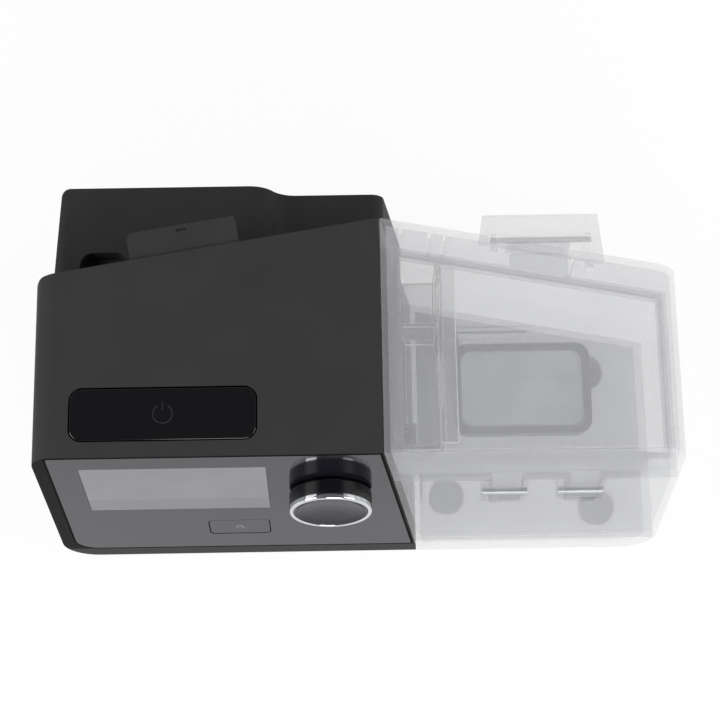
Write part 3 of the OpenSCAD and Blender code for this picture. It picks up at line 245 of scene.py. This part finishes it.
@dataclass(frozen=True)
class ClearPlastic(Finish):
    """Milky clear moulding: part of the light goes straight through, part is bent, part is scattered."""

    haze: float = 0.12
    clarity: float = 0.2
    cover: float = 0.24

    def shader(self, tree: bpy.types.NodeTree) -> bpy.types.Node:
        """Adds a shader that lets light through."""
        sockets = {
            "Base Color": linear(self.colour),
            "Roughness": self.haze,
            "IOR": self.ior,
            "Transmission Weight": self.clarity,
            "Alpha": self.cover,
        }
        return add_node(tree, "ShaderNodeBsdfPrincipled", sockets)

    def pattern(self, tree: bpy.types.NodeTree, shader: bpy.types.Node) -> None:
        """Varies the haze over the moulding and ripples its surface a little."""
        place = self.place(tree)
        slow = self.noise(tree, place, self.patch)
        tree.links.new(self.vary(tree, slow, self.haze * 0.8, self.haze * 1.2), shader.inputs["Roughness"])
        tree.links.new(self.bump(tree, self.noise(tree, place, self.grain), self.depth), shader.inputs["Normal"])


class Surface(Enum):
    """The finishes of this machine."""

    # Moulded ABS from a spark-eroded tool: soft, even black with a fine grain
    HOUSING = Finish(
        "moulded_abs_black", "housing_plastic", "#39393a", roughness=0.5, ior=1.15, grain=0.45, depth=0.012,
    )
    # The same ABS, polished where it frames the panel, in a near black copy of its colour: painted shade on the
    # faces that look ahead
    RIM = Finish("abs_rim_painted_shade", "housing_plastic", "#0d0d0f", roughness=0.3, ior=1.08, grain=3, depth=0.003)
    # Polished ABS: deep black that mirrors the dark ceiling
    GLOSS = Finish("polished_abs_black", "key_plastic", "#0c0c0f", roughness=0.06, grain=6, depth=0.004, mottle=0.03)
    # Back-printed acrylic: black, and a cool grey only where it mirrors the pale table
    PANEL = Finish(
        "printed_acrylic", "panel_plastic", "#15151b", roughness=0.07, ior=1.5, grain=8, depth=0.004, mottle=0.03,
        gloss_tint="#f4f3ff",
    )
    # Unlit liquid crystal display behind a bonded window
    DISPLAY = Finish("lcd_behind_acrylic", "display_glass", "#747478", roughness=0.1, grain=8, depth=0.003)
    # The display's lower strip: the same, a shade deeper
    STATUS = Finish("lcd_status_bar", "display_glass", "#6c6c72", roughness=0.1, grain=8, depth=0.003)
    # Satin ABS of the knob's side: black with one soft light band
    KNOB = Finish("moulded_abs_knob", "key_plastic", "#101013", roughness=0.26, grain=1.5, depth=0.004)
    # Moulded ABS frame of the display: dull black
    FRAME = Finish("moulded_abs_frame", "display_frame", "#1c1c1e", roughness=0.5)
    # Glass-fibre board under solder mask: satin green
    BOARD = Finish("fr4_solder_mask", "circuit_board", "#1f5a38", roughness=0.35, grain=1.2, depth=0.02)
    # Nylon of switches and encoder: plain mid grey
    SWITCH = Finish("moulded_nylon_grey", "switch_plastic", "#6f7276", roughness=0.5)
    # PBT of sockets and card: plain black, a little shinier than the shells
    DARK = Finish("moulded_pbt_black", "dark_plastic", "#202022", roughness=0.45)
    # Chromed zinc: a mirror with hardly any texture
    CHROME = Finish(
        "chromed_zinc", "chrome", "#d8dadd", roughness=0.06, metallic=1, grain=5, depth=0.002, mottle=0.02,
    )
    # Rolled stainless steel: fine lines along one way
    STEEL = Finish(
        "rolled_stainless_steel", "brushed_steel", "#aaadb0", roughness=0.3, metallic=1, grain=0.6, depth=0.004,
        stretch=(1.0, 0.04, 1.0),
    )
    # Aluminium turned on a lathe: dark grey with fine rings
    CAP = SpunMetal(
        "spun_aluminium", "brushed_steel", "#434449", roughness=0.3, metallic=1, depth=0.003, mottle=0.05,
        centre=tuple(on_front(120, 40.5, 8) / MM),
    )
    # Nylon of ducts and hose outlet: light grey, half matt
    DUCT = Finish("moulded_nylon_duct", "duct_plastic", "#8a8d91", roughness=0.45)
    # Enamelled winding wire: warm and shiny with fine ridges
    COPPER = Finish("enamelled_copper", "copper", "#b0683a", roughness=0.3, metallic=1, grain=0.5, depth=0.06)
    # Open-cell foam: fully matt and pitted
    FOAM = Finish("open_cell_foam", "foam", "#57595d", roughness=0.95, grain=1.1, depth=0.5, mottle=0.2)
    # Pleated fleece of the filter: soft white
    FLEECE = Finish("pleated_fleece", "filter_fleece", "#dcdedf", roughness=0.95, grain=0.7, depth=0.2)
    # Near black film over the gap round the panel, with no shine: painted shade of the groove
    SEAL = Finish("groove_painted_shade_black", "rubber", "#050506", roughness=0.6, ior=1.1, grain=1.5, depth=0.005)
    # Moulded rubber of feet and seals: matt black
    RUBBER = Finish("moulded_rubber", "rubber", "#1d1d1f", roughness=0.7, grain=0.6, depth=0.03)
    # Etched foil heater: brassy film
    HEATER = Finish("etched_foil_heater", "heater_film", "#c0913f", roughness=0.35, metallic=1, grain=2, depth=0.02)
    # Clear polycarbonate: pale grey walls that the parts behind show through
    CLEAR = ClearPlastic("clear_polycarbonate", "clear_plastic", "#dcdddf", ior=1.4, grain=9, depth=0.002, haze=0.01)
    # Edges of the same moulding, white and nearly opaque: a painted highlight that makes each rounded edge a bright
    # line
    CLEAR_EDGE = ClearPlastic(
        "polycarbonate_edge_painted_highlight", "clear_plastic", "#ffffff", ior=1.45, grain=9, depth=0.002, haze=0.05, cover=0.9,
        clarity=0.05,
    )
    # Anodised heater and tank floor: pale and satin under the clear walls
    ANODISED = Finish(
        "anodised_aluminium", "brushed_steel", "#e4e6e8", roughness=0.55, metallic=1, grain=0.6, depth=0.004,
    )
    # White nylon of the impeller and the heater carrier
    WHITE = Finish("moulded_nylon_white", "clear_plastic", "#d9dadc", roughness=0.4)
    # Screen print: flat grey, and near black on the power plate
    PRINT = Finish("screen_print_grey", "panel_plastic", "#5c5c60", roughness=0.45, grain=0.4, depth=0.004)
    FAINT_PRINT = Finish("screen_print_dark", "key_plastic", "#242427", roughness=0.4, grain=0.4, depth=0.004)

    def dress(self, piece: bpy.types.Object, edges: "Surface | None" = None) -> bpy.types.Object:
        """Gives a piece this finish, and its rounded edges another one if it is named."""
        slots = piece.data.materials
        while len(slots) < (2 if edges else 1):
            slots.append(None)
        slots[0] = self.value.material()
        if edges:
            slots[1] = edges.value.material()
        return piece


# ---------------------------------------------------------------- modelling


def deselect() -> None:
    """Leaves nothing selected, so that an operator acts on one piece only."""
    if bpy.context.object and bpy.context.object.mode != "OBJECT":
        bpy.ops.object.mode_set(mode="OBJECT")
    bpy.ops.object.select_all(action="DESELECT")


def activate(piece: bpy.types.Object) -> None:
    """Makes one piece the selected and active one."""
    deselect()
    piece.select_set(True)
    bpy.context.view_layer.objects.active = piece


def apply_modifier(piece: bpy.types.Object, kind: str, **settings) -> None:
    """Adds a modifier with its settings and applies it."""
    activate(piece)
    modifier = piece.modifiers.new(kind.title(), kind)
    for name, value in settings.items():
        setattr(modifier, name, value)
    bpy.ops.object.modifier_apply(modifier=modifier.name)


def finish_shape(piece: bpy.types.Object, smooth_deg: float = 40.0) -> None:
    """Sets the place in the mesh, turns the faces outwards and shades round stretches smooth."""
    activate(piece)
    bpy.ops.object.transform_apply(location=True, rotation=True, scale=True)
    bpy.ops.object.mode_set(mode="EDIT")
    bpy.ops.mesh.select_all(action="SELECT")
    bpy.ops.mesh.remove_doubles(threshold=0.002 * MM)
    bpy.ops.mesh.normals_make_consistent(inside=False)
    bpy.ops.object.mode_set(mode="OBJECT")
    bpy.ops.object.shade_smooth_by_angle(angle=math.radians(smooth_deg))


def rounded_copy(
    node: str, radius: float, segments: int = 2, sharp_deg: float = 32.0, slots: int = 1
) -> bpy.types.Object:
    """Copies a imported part, welds its triangles into whole faces and rounds its edges.

    Args:
        node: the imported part's name.
        radius: the edge radius in mm, or 0 to keep the edges as they are.
        segments: the bands in each rounded edge.
        sharp_deg: the least angle between two faces that is rounded.
        slots: the number of finishes; with two, the rounded edges take the second.

    Returns:
        The new piece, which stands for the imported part.
    """
    source = frame["nodes"][node]
    piece = bpy.data.objects.new(f"{node}_shell", source.data.copy())
    bpy.context.collection.objects.link(piece)
    piece.data.materials.clear()
    for _ in range(slots):
        piece.data.materials.append(None)
    activate(piece)
    bpy.ops.mesh.customdata_custom_splitnormals_clear()
    bpy.ops.object.mode_set(mode="EDIT")
    bpy.ops.mesh.select_all(action="SELECT")
    bpy.ops.mesh.remove_doubles(threshold=0.004 * MM)
    bpy.ops.mesh.dissolve_limited(angle_limit=math.radians(0.3))
    bpy.ops.object.mode_set(mode="OBJECT")
    if radius:
        apply_modifier(
            piece, "BEVEL", width=radius * MM, segments=segments, limit_method="ANGLE",
            angle_limit=math.radians(sharp_deg), use_clamp_overlap=True, miter_outer="MITER_ARC", material=slots - 1,
        )
    activate(piece)
    bpy.ops.object.shade_smooth_by_angle(angle=math.radians(35))
    apply_modifier(piece, "WEIGHTED_NORMAL", keep_sharp=True, weight=80)
    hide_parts(node)
    return piece


def seat(
    piece: bpy.types.Object, body: str, surface: Surface, edges: Surface | None = None
) -> bpy.types.Object:
    """Dresses a piece and lets it ride on its body.

    Args:
        piece: the finished mesh.
        body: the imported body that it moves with.
        surface: its finish.
        edges: the finish of its rounded edges, where that is another one.

    Returns:
        The same piece.
    """
    surface.dress(piece, edges)
    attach(piece, body)
    log.info("%s: %d faces, %s on %s", piece.name, len(piece.data.polygons), surface.value.name, body)
    return piece


def body_of(node: str) -> str:
    """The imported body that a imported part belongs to."""
    return frame["nodes"][node]["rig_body"]


def shell(node: str, surface: Surface, radius: float, **options) -> bpy.types.Object:
    """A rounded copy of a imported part, dressed and seated on the part's own body."""
    return seat(rounded_copy(node, radius, **options), body_of(node), surface)


def clear_shell(node: str, radius: float) -> bpy.types.Object:
    """A rounded copy of a clear moulding, whose rounded edges take the white edge finish: a painted highlight."""
    return seat(rounded_copy(node, radius, slots=2), body_of(node), Surface.CLEAR, Surface.CLEAR_EDGE)


def dress_parts(surface: Surface, *nodes: str) -> None:
    """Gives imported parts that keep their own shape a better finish."""
    for node in nodes:
        part = frame["nodes"][node]
        for material_slot in part.material_slots:
            material_slot.material = surface.value.material()
        log.info("%s: %s", node, surface.value.name)


def select_faces(piece: bpy.types.Object, chosen: Callable[[bpy.types.MeshPolygon], bool]) -> None:
    """Enters edit mode with only the chosen faces selected."""
    activate(piece)
    bpy.ops.object.mode_set(mode="EDIT")
    bpy.ops.mesh.select_all(action="DESELECT")
    bpy.ops.object.mode_set(mode="OBJECT")
    for face in piece.data.polygons:
        face.select = chosen(face)
    bpy.ops.object.mode_set(mode="EDIT")
    bpy.ops.mesh.select_mode(type="FACE")


def lay_on_front(piece: bpy.types.Object, x: float, drop: float, out: float) -> None:
    """Moves a piece modelled flat round the world's origin onto the leaning front face."""
    turn = Matrix.Rotation(math.pi / 2 - FRONT_LEAN, 4, "X")
    piece.matrix_world = Matrix.Translation(on_front(x, drop, out)) @ turn
    finish_shape(piece)


def draw_chain(name: str, points: Sequence[tuple[float, float, float]]) -> bpy.types.Object:
    """Draws a chain of edges by pulling one vertex from point to point.

    Args:
        name: the name of the new piece.
        points: the corners in mm, round the world's origin.

    Returns:
        The new piece, in edit mode with the whole chain selected.
    """
    deselect()
    bpy.ops.mesh.primitive_plane_add(size=MM)
    piece = bpy.context.object
    piece.name = name
    bpy.ops.object.mode_set(mode="EDIT")
    bpy.ops.mesh.select_mode(type="VERT")
    bpy.ops.mesh.select_all(action="SELECT")
    bpy.ops.mesh.merge(type="CENTER")
    last = Vector((0, 0, 0))
    for number, point in enumerate(Vector(p) * MM for p in points):
        if number:
            bpy.ops.mesh.extrude_region_move(TRANSFORM_OT_translate={"value": point - last})
        else:
            bpy.ops.transform.translate(value=point - last)
        last = point
    bpy.ops.mesh.select_all(action="SELECT")
    return piece


def flat_outline(name: str, points: Sequence[tuple[float, float]], height: float) -> bpy.types.Object:
    """Models a flat mark of the given outline in mm and height in mm, round the world's origin."""
    piece = draw_chain(name, [(x, y, 0) for x, y in points])
    bpy.ops.mesh.edge_face_add()
    bpy.ops.mesh.extrude_region_move(TRANSFORM_OT_translate={"value": (0, 0, height * MM)})
    bpy.ops.object.mode_set(mode="OBJECT")
    return piece


def spun(name: str, section: Sequence[tuple[float, float]], steps: int = 96) -> bpy.types.Object:
    """Spins a half-section of radius and height in mm once round the z axis."""
    piece = draw_chain(name, [(r, 0, h) for r, h in (*section, section[0])])
    bpy.ops.mesh.spin(steps=steps, angle=math.tau, center=(0, 0, 0), axis=(0, 0, 1))
    bpy.ops.object.mode_set(mode="OBJECT")
    return piece


# ---------------------------------------------------------------- sub-assemblies


@dataclass
class Housing:
    """The black shells of the main unit. Radii in mm."""

    edge: float = 0.55
    seam: float = 0.3

    def build(self) -> None:
        """Rounds and dresses the three shells and what is fastened to them."""
        top = shell("top_cover", Surface.HOUSING, self.edge)
        self.paint_rim_shade(top)
        shell("rear_cover", Surface.HOUSING, self.edge)
        shell("lower_housing", Surface.HOUSING, self.seam)
        shell("rubber_feet", Surface.RUBBER, 0.5)
        dress_parts(Surface.STEEL, "housing_screws", "board_screws", "locating_pin")

    def paint_rim_shade(self, top: bpy.types.Object) -> None:
        """Gives the faces round the panel that look ahead the polished finish with its near black colour: painted
        shade.
        """
        top.data.materials.append(Surface.RIM.value.material())
        ahead = Vector((0, -math.cos(FRONT_LEAN), math.sin(FRONT_LEAN)))
        select_faces(top, lambda face: face.normal.dot(ahead) > 0.9)
        top.active_material_index = 1
        bpy.ops.object.material_slot_assign()
        bpy.ops.object.mode_set(mode="OBJECT")


@dataclass
class PowerKey:
    """The polished plate on top with a faint on and off mark. Sizes in mm."""

    edge: float = 0.7
    centre: tuple[float, float] = (53.35, 17.7)
    mark_r: float = 4.2
    line: float = 0.55
    bar: tuple[float, float] = (1.6, 4.8)
    gap_deg: int = 30
    thick: float = 0.1
    proud: float = 0.02

    def build(self) -> None:
        """Models the plate and its mark."""
        shell("power_button", Surface.GLOSS, self.edge, segments=3)
        self.mark()

    def mark(self) -> None:
        """Models the ring with its gap and bar, flush with the plate."""
        turns = [math.radians(v) for v in range(self.gap_deg, 361 - self.gap_deg, 10)]
        ring = draw_chain("power_mark", [(self.mark_r * math.sin(v), self.mark_r * math.cos(v), 0) for v in turns])
        bpy.ops.mesh.extrude_region_move()
        share = (self.mark_r - self.line) / self.mark_r
        bpy.ops.transform.resize(value=(share, share, 1), center_override=(0, 0, 0))
        bpy.ops.mesh.select_all(action="SELECT")
        bpy.ops.mesh.extrude_region_move(TRANSFORM_OT_translate={"value": (0, 0, self.thick * MM)})
        bpy.ops.object.mode_set(mode="OBJECT")
        half = self.line / 2
        low, high = self.bar
        bar = flat_outline("power_bar", [(-half, low), (half, low), (half, high), (-half, high)], self.thick)
        activate(ring)
        bar.select_set(True)
        bpy.ops.object.join()
        ring.location = at(*self.centre, BODY_H + self.proud - self.thick)
        finish_shape(ring)
        seat(ring, "power_key", Surface.FAINT_PRINT)


@dataclass
class FrontPanel:
    """The glossy front with its display and home key. Sizes in mm."""

    edge: float = 0.3
    icon_at: tuple[float, float] = (79.8, 82.0)
    left: float = 5.8
    top: float = 1.4
    low: float = 106.8
    right_top: float = 140.9
    right_low: float = 155.5
    corner: float = 10.0
    groove: float = 0.45
    groove_shade_thick: float = 0.05
    groove_shade_out: float = -0.02
    bar: tuple[float, float, float, float] = (18.1, 47.7, 94.0, 59.1)
    film_thick: float = 0.03
    film_out: float = -0.01

    def build(self) -> None:
        """Models the panel, the display and the key with its mark."""
        shell("front_panel", Surface.PANEL, self.edge)
        shell("home_button", Surface.PANEL, 0.3)
        shell("display_glass", Surface.DISPLAY, 0.12)
        shell("display_module", Surface.FRAME, 0.2)
        self.home_mark()
        self.status_bar()
        self.groove_line()

    def status_bar(self) -> None:
        """Models the darker strip along the display's lower edge as a thin film."""
        left, top, right, low = self.bar
        bar = flat_outline("status_bar", [(left, -top), (right, -top), (right, -low), (left, -low)], self.film_thick)
        lay_on_front(bar, 0, 0, self.film_out)
        seat(bar, "main_unit", Surface.STATUS)

    def outline(self, grow: float) -> list[tuple[float, float, float]]:
        """The panel's outline in the plane of the front, grown by a margin."""
        radius = self.corner + grow
        middle = (self.left + self.corner, self.corner - self.low)
        turns = [math.radians(v) for v in range(180, 271, 10)]
        arc = [(middle[0] + radius * math.cos(v), middle[1] + radius * math.sin(v), 0) for v in turns]
        low, top = -self.low - grow, grow - self.top
        return [(self.left - grow, top, 0), *arc, (self.right_low + grow, low, 0), (self.right_top + grow, top, 0)]

    def loop(self, name: str, grow: float) -> bpy.types.Object:
        """Draws the panel's outline, grown by a margin, as a closed loop of edges."""
        corners = self.outline(grow)
        piece = draw_chain(name, [*corners, corners[0]])
        bpy.ops.mesh.remove_doubles(threshold=0.01 * MM)
        bpy.ops.object.mode_set(mode="OBJECT")
        return piece

    def groove_line(self) -> None:
        """Models a near black film over the gap round the panel, level with the panel's face: painted shade of the
        groove.
        """
        inner = self.loop("groove_inner", -self.groove)
        outer = self.loop("panel_groove_painted_shade", self.groove)
        activate(outer)
        inner.select_set(True)
        bpy.ops.object.join()
        bpy.ops.object.mode_set(mode="EDIT")
        bpy.ops.mesh.select_all(action="SELECT")
        bpy.ops.mesh.bridge_edge_loops()
        bpy.ops.mesh.select_all(action="SELECT")
        bpy.ops.mesh.extrude_region_move(TRANSFORM_OT_translate={"value": (0, 0, self.groove_shade_thick * MM)})
        bpy.ops.object.mode_set(mode="OBJECT")
        lay_on_front(outer, 0, 0, self.groove_shade_out)
        seat(outer, "main_unit", Surface.SEAL)

    def home_mark(self) -> None:
        """Models the little house on the home key as a thin print."""
        outline = [(-2.6, 0.2), (0, 2.6), (2.6, 0.2), (1.9, 0.2), (1.9, -2.2), (0.6, -2.2), (0.6, -0.6),
                   (-0.6, -0.6), (-0.6, -2.2), (-1.9, -2.2), (-1.9, 0.2)]
        mark = flat_outline("home_mark", outline, 0.06)
        lay_on_front(mark, *self.icon_at, -0.14)
        seat(mark, "home_key", Surface.PRINT)


@dataclass
class Knob:
    """The turning knob: a satin body, a thin bright bead and a dished cap inside it. Sizes in mm."""

    centre: tuple[float, float] = (120.0, 40.5)
    foot: float = 7.62
    top: float = 10.0
    bead_r: float = 16.25
    bead_half: float = 0.95
    lip_r: float = 13.6
    lip_top: float = 9.25
    dish_deep: float = 1.5
    dish_steps: int = 12

    def build(self) -> None:
        """Rounds the body, models the bead and the cap, and dresses the encoder behind them."""
        shell("knob_body", Surface.KNOB, 0.3)
        self.place(self.bead(), "knob_ring", Surface.CHROME)
        self.place(self.cap(), "knob_cap", Surface.CAP)
        dress_parts(Surface.STEEL, "encoder_shaft", "encoder_plunger")
        dress_parts(Surface.SWITCH, "encoder_body")

    def place(self, piece: bpy.types.Object, node: str, surface: Surface) -> None:
        """Lays a spun piece on the knob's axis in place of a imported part."""
        lay_on_front(piece, *self.centre, 0)
        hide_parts(node)
        seat(piece, body_of(node), surface)

    def bead(self) -> bpy.types.Object:
        """Spins the bright bead, round on top and straight down its sides."""
        arc = [math.radians(v) for v in range(0, 181, 20)]
        middle = self.top - self.bead_half
        section = [(self.bead_r + self.bead_half * math.cos(v), middle + self.bead_half * math.sin(v)) for v in arc]
        inner, outer = self.bead_r - self.bead_half, self.bead_r + self.bead_half
        return spun("knob_bead", [(inner, self.foot), (outer, self.foot), *section])

    def cap(self) -> bpy.types.Object:
        """Spins the cap: a slope inside the bead, a small lip and the deep dish."""
        inner = self.bead_r - self.bead_half + 0.05
        floor = self.lip_top - 0.15
        edge = self.lip_r - 0.3
        shares = [i / self.dish_steps for i in range(self.dish_steps, -1, -1)]
        dish = [(edge * share, floor - self.dish_deep * (1 - share**2)) for share in shares]
        lip = [(self.lip_r + 0.2, self.lip_top), (self.lip_r - 0.1, self.lip_top)]
        slope = [(inner, self.top - 0.3), (self.lip_r + 0.35, self.lip_top - 0.2)]
        return spun("knob_dish", [(0, self.foot), (inner, self.foot), *slope, *lip, *dish])


@dataclass
class RearFittings:
    """Hose outlet, filter door, filter, power inlet and memory card."""

    def build(self) -> None:
        """Rounds and dresses the fittings."""
        shell("air_outlet", Surface.DUCT, 0.35)
        dress_parts(Surface.HOUSING, "filter_cover")
        shell("dc_socket", Surface.DARK, 0.25)
        shell("sd_card", Surface.DARK, 0.3)
        dress_parts(Surface.FLEECE, "air_filter")


@dataclass
class Innards:
    """What the closed housing hides: boards, blower, ducts and seals."""

    def build(self) -> None:
        """Dresses the hidden parts."""
        dress_parts(Surface.BOARD, "front_board", "control_board")
        dress_parts(Surface.SWITCH, "home_switch", "power_switch")
        dress_parts(Surface.DARK, "speaker")
        dress_parts(Surface.DUCT, "blower_base", "blower_cover", "motor_plate", "inlet_muffler", "pressure_duct",
                    "return_duct")
        dress_parts(Surface.RUBBER, "blower_mounts", "port_seals")
        dress_parts(Surface.COPPER, "motor_stator")
        dress_parts(Surface.STEEL, "motor_rotor", "motor_bearings", "card_socket")
        dress_parts(Surface.CHROME, "motor_shaft")
        dress_parts(Surface.WHITE, "impeller")
        dress_parts(Surface.FOAM, "muffler_foam")


@dataclass
class Humidifier:
    """The clear base, tank and lid on the right, with the heater under them. Radii in mm."""

    edge: float = 0.5
    fine_edge: float = 0.35

    def build(self) -> None:
        """Rounds and dresses the clear mouldings and dresses the metal and the seals."""
        for node in ("humidifier_base", "water_tank", "chamber_lid"):
            clear_shell(node, self.edge)
        for node in ("air_baffle", "lid_latch"):
            clear_shell(node, self.fine_edge)
        shell("heater_plate", Surface.ANODISED, 0.3)
        shell("tank_heat_plate", Surface.ANODISED, 0.25)
        dress_parts(Surface.HEATER, "heater_element")
        dress_parts(Surface.WHITE, "heater_carrier")
        dress_parts(Surface.CLEAR, "plate_gasket", "lid_seal", "latch_pin")
        dress_parts(Surface.STEEL, "hinge_pins")


# ---------------------------------------------------------------- studio


@dataclass
class Studio:
    """Camera, pale table and soft light. Distances in mm, angles in degrees."""

    lens: float = 97.5
    sensor: float = 36.0
    elevation: float = 72.917
    yaw: float = -1.091
    roll: float = 0.14
    aim: tuple[float, float, float] = (133.345, 56.167, 60.0)
    distance: float = 848.184
    glow: dict[str, float] = field(
        default_factory=lambda: {"Is Camera Ray": 0.9, "Is Transmission Ray": 0.8, "Is Glossy Ray": 0.35}
    )

    def build(self) -> None:
        """Sets the camera, the table, the lamps and the world."""
        self.camera()
        self.table()
        for lamp in LAMPS:
            lamp.build()
        self.world()
        bpy.context.scene.view_settings.view_transform = "Standard"

    def camera(self) -> None:
        """Places the camera where the photograph was taken from."""
        rise, turn, tilt = (math.radians(v) for v in (self.elevation, self.yaw, self.roll))
        spin = Matrix.Rotation(turn, 3, "Z")
        ahead = spin @ Vector((0, math.cos(rise), -math.sin(rise)))
        right = spin @ Vector((1, 0, 0))
        up = right.cross(ahead)
        right, up = (
            math.cos(tilt) * right + math.sin(tilt) * up,
            -math.sin(tilt) * right + math.cos(tilt) * up,
        )
        data = bpy.data.cameras.new("camera")
        data.lens, data.sensor_width = self.lens, self.sensor
        data.clip_start, data.clip_end = 0.05, 50
        eye = bpy.data.objects.new("camera", data)
        bpy.context.collection.objects.link(eye)
        turned = Matrix((right, up, -ahead)).transposed().to_4x4()
        eye.matrix_world = Matrix.Translation(at(*self.aim) - ahead * self.distance * MM) @ turned
        bpy.context.scene.camera = eye

    def table(self) -> None:
        """Lays the pale table top under the machine; it looks white and keeps the machine's shadow."""
        deselect()
        bpy.ops.mesh.primitive_plane_add(size=8, location=(0, 0, -0.0002))
        top = bpy.context.object
        top.name = "table_top"
        paint = bpy.data.materials.new("white_laminate")
        paint.use_nodes = True
        tree = paint.node_tree
        tree.nodes.clear()
        share = self.glow_share(tree)
        matt = add_node(tree, "ShaderNodeBsdfDiffuse", {"Color": linear("#f2f2f2")})
        glow = add_node(tree, "ShaderNodeEmission", {"Color": linear("#ffffff"), "Strength": 1.02})
        mix = add_node(tree, "ShaderNodeMixShader", {0: share, 1: matt.outputs[0], 2: glow.outputs[0]})
        add_node(tree, "ShaderNodeOutputMaterial", {"Surface": mix.outputs[0]})
        top.data.materials.append(paint)

    def glow_share(self, tree: bpy.types.NodeTree) -> bpy.types.NodeSocket:
        """How much of the table's tone is its own glow, for each kind of ray that meets it."""
        path = add_node(tree, "ShaderNodeLightPath")
        most = 0.0
        for kind, share in self.glow.items():
            sockets = {0: path.outputs[kind], 1: share}
            part = add_node(tree, "ShaderNodeMath", sockets, operation="MULTIPLY").outputs[0]
            most = add_node(tree, "ShaderNodeMath", {0: part, 1: most}, operation="MAXIMUM").outputs[0]
        return most

    def world(self) -> None:
        """Makes a bright room near the horizon under a dark ceiling, with a white background."""
        world = bpy.data.worlds.new("studio")
        bpy.context.scene.world = world
        world.use_nodes = True
        tree = world.node_tree
        tree.nodes.clear()
        coords = add_node(tree, "ShaderNodeTexCoord")
        height = add_node(tree, "ShaderNodeSeparateXYZ", {"Vector": coords.outputs["Generated"]}).outputs["Z"]
        ramp = add_node(tree, "ShaderNodeValToRGB", {"Fac": height})
        stops = ramp.color_ramp.elements
        stops[0].position, stops[0].color = 0.0, (1, 1, 1, 1)
        stops[1].position, stops[1].color = 0.9, (0.14, 0.14, 0.145, 1)
        middle = stops.new(0.5)
        middle.color = (0.34, 0.34, 0.35, 1)
        path = add_node(tree, "ShaderNodeLightPath")
        mix = add_node(tree, "ShaderNodeMix", data_type="RGBA")
        tree.links.new(path.outputs["Is Camera Ray"], mix.inputs[0])
        tree.links.new(ramp.outputs["Color"], mix.inputs[6])
        mix.inputs[7].default_value = (1, 1, 1, 1)
        sky = add_node(tree, "ShaderNodeBackground", {"Color": mix.outputs[2], "Strength": 1.0})
        add_node(tree, "ShaderNodeOutputWorld", {"Surface": sky.outputs[0]})


@dataclass(frozen=True)
class Lamp:
    """A square softbox that points at the machine. Sizes in metres, power in watts."""

    name: str
    place: tuple[float, float, float]
    size: float
    power: float

    def build(self) -> None:
        """Hangs the softbox."""
        data = bpy.data.lights.new(self.name, "AREA")
        data.shape, data.size, data.energy = "SQUARE", self.size, self.power
        lamp = bpy.data.objects.new(self.name, data)
        bpy.context.collection.objects.link(lamp)
        lamp.location = self.place
        lamp.rotation_euler = (Vector((0, 0, 0.05)) - lamp.location).to_track_quat("-Z", "Y").to_euler()


LAMPS = (
    Lamp("softbox_left", (-1.3, -0.3, 1.0), 0.9, 12),
    Lamp("softbox_right", (1.3, -0.2, 1.1), 0.9, 9),
    Lamp("softbox_front", (0.2, -1.5, 1.0), 0.9, 15),
)

ASSEMBLIES = (Studio, Housing, PowerKey, FrontPanel, Knob, RearFittings, Innards, Humidifier)


def main() -> None:
    """Builds the machine's looks, piece by piece, in order."""
    logging.basicConfig(level=logging.INFO, format="%(name)s: %(message)s")
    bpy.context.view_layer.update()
    for assembly in ASSEMBLIES:
        log.info("building %s", assembly.__name__)
        assembly().build()


if __name__ == "__main__":
    main()
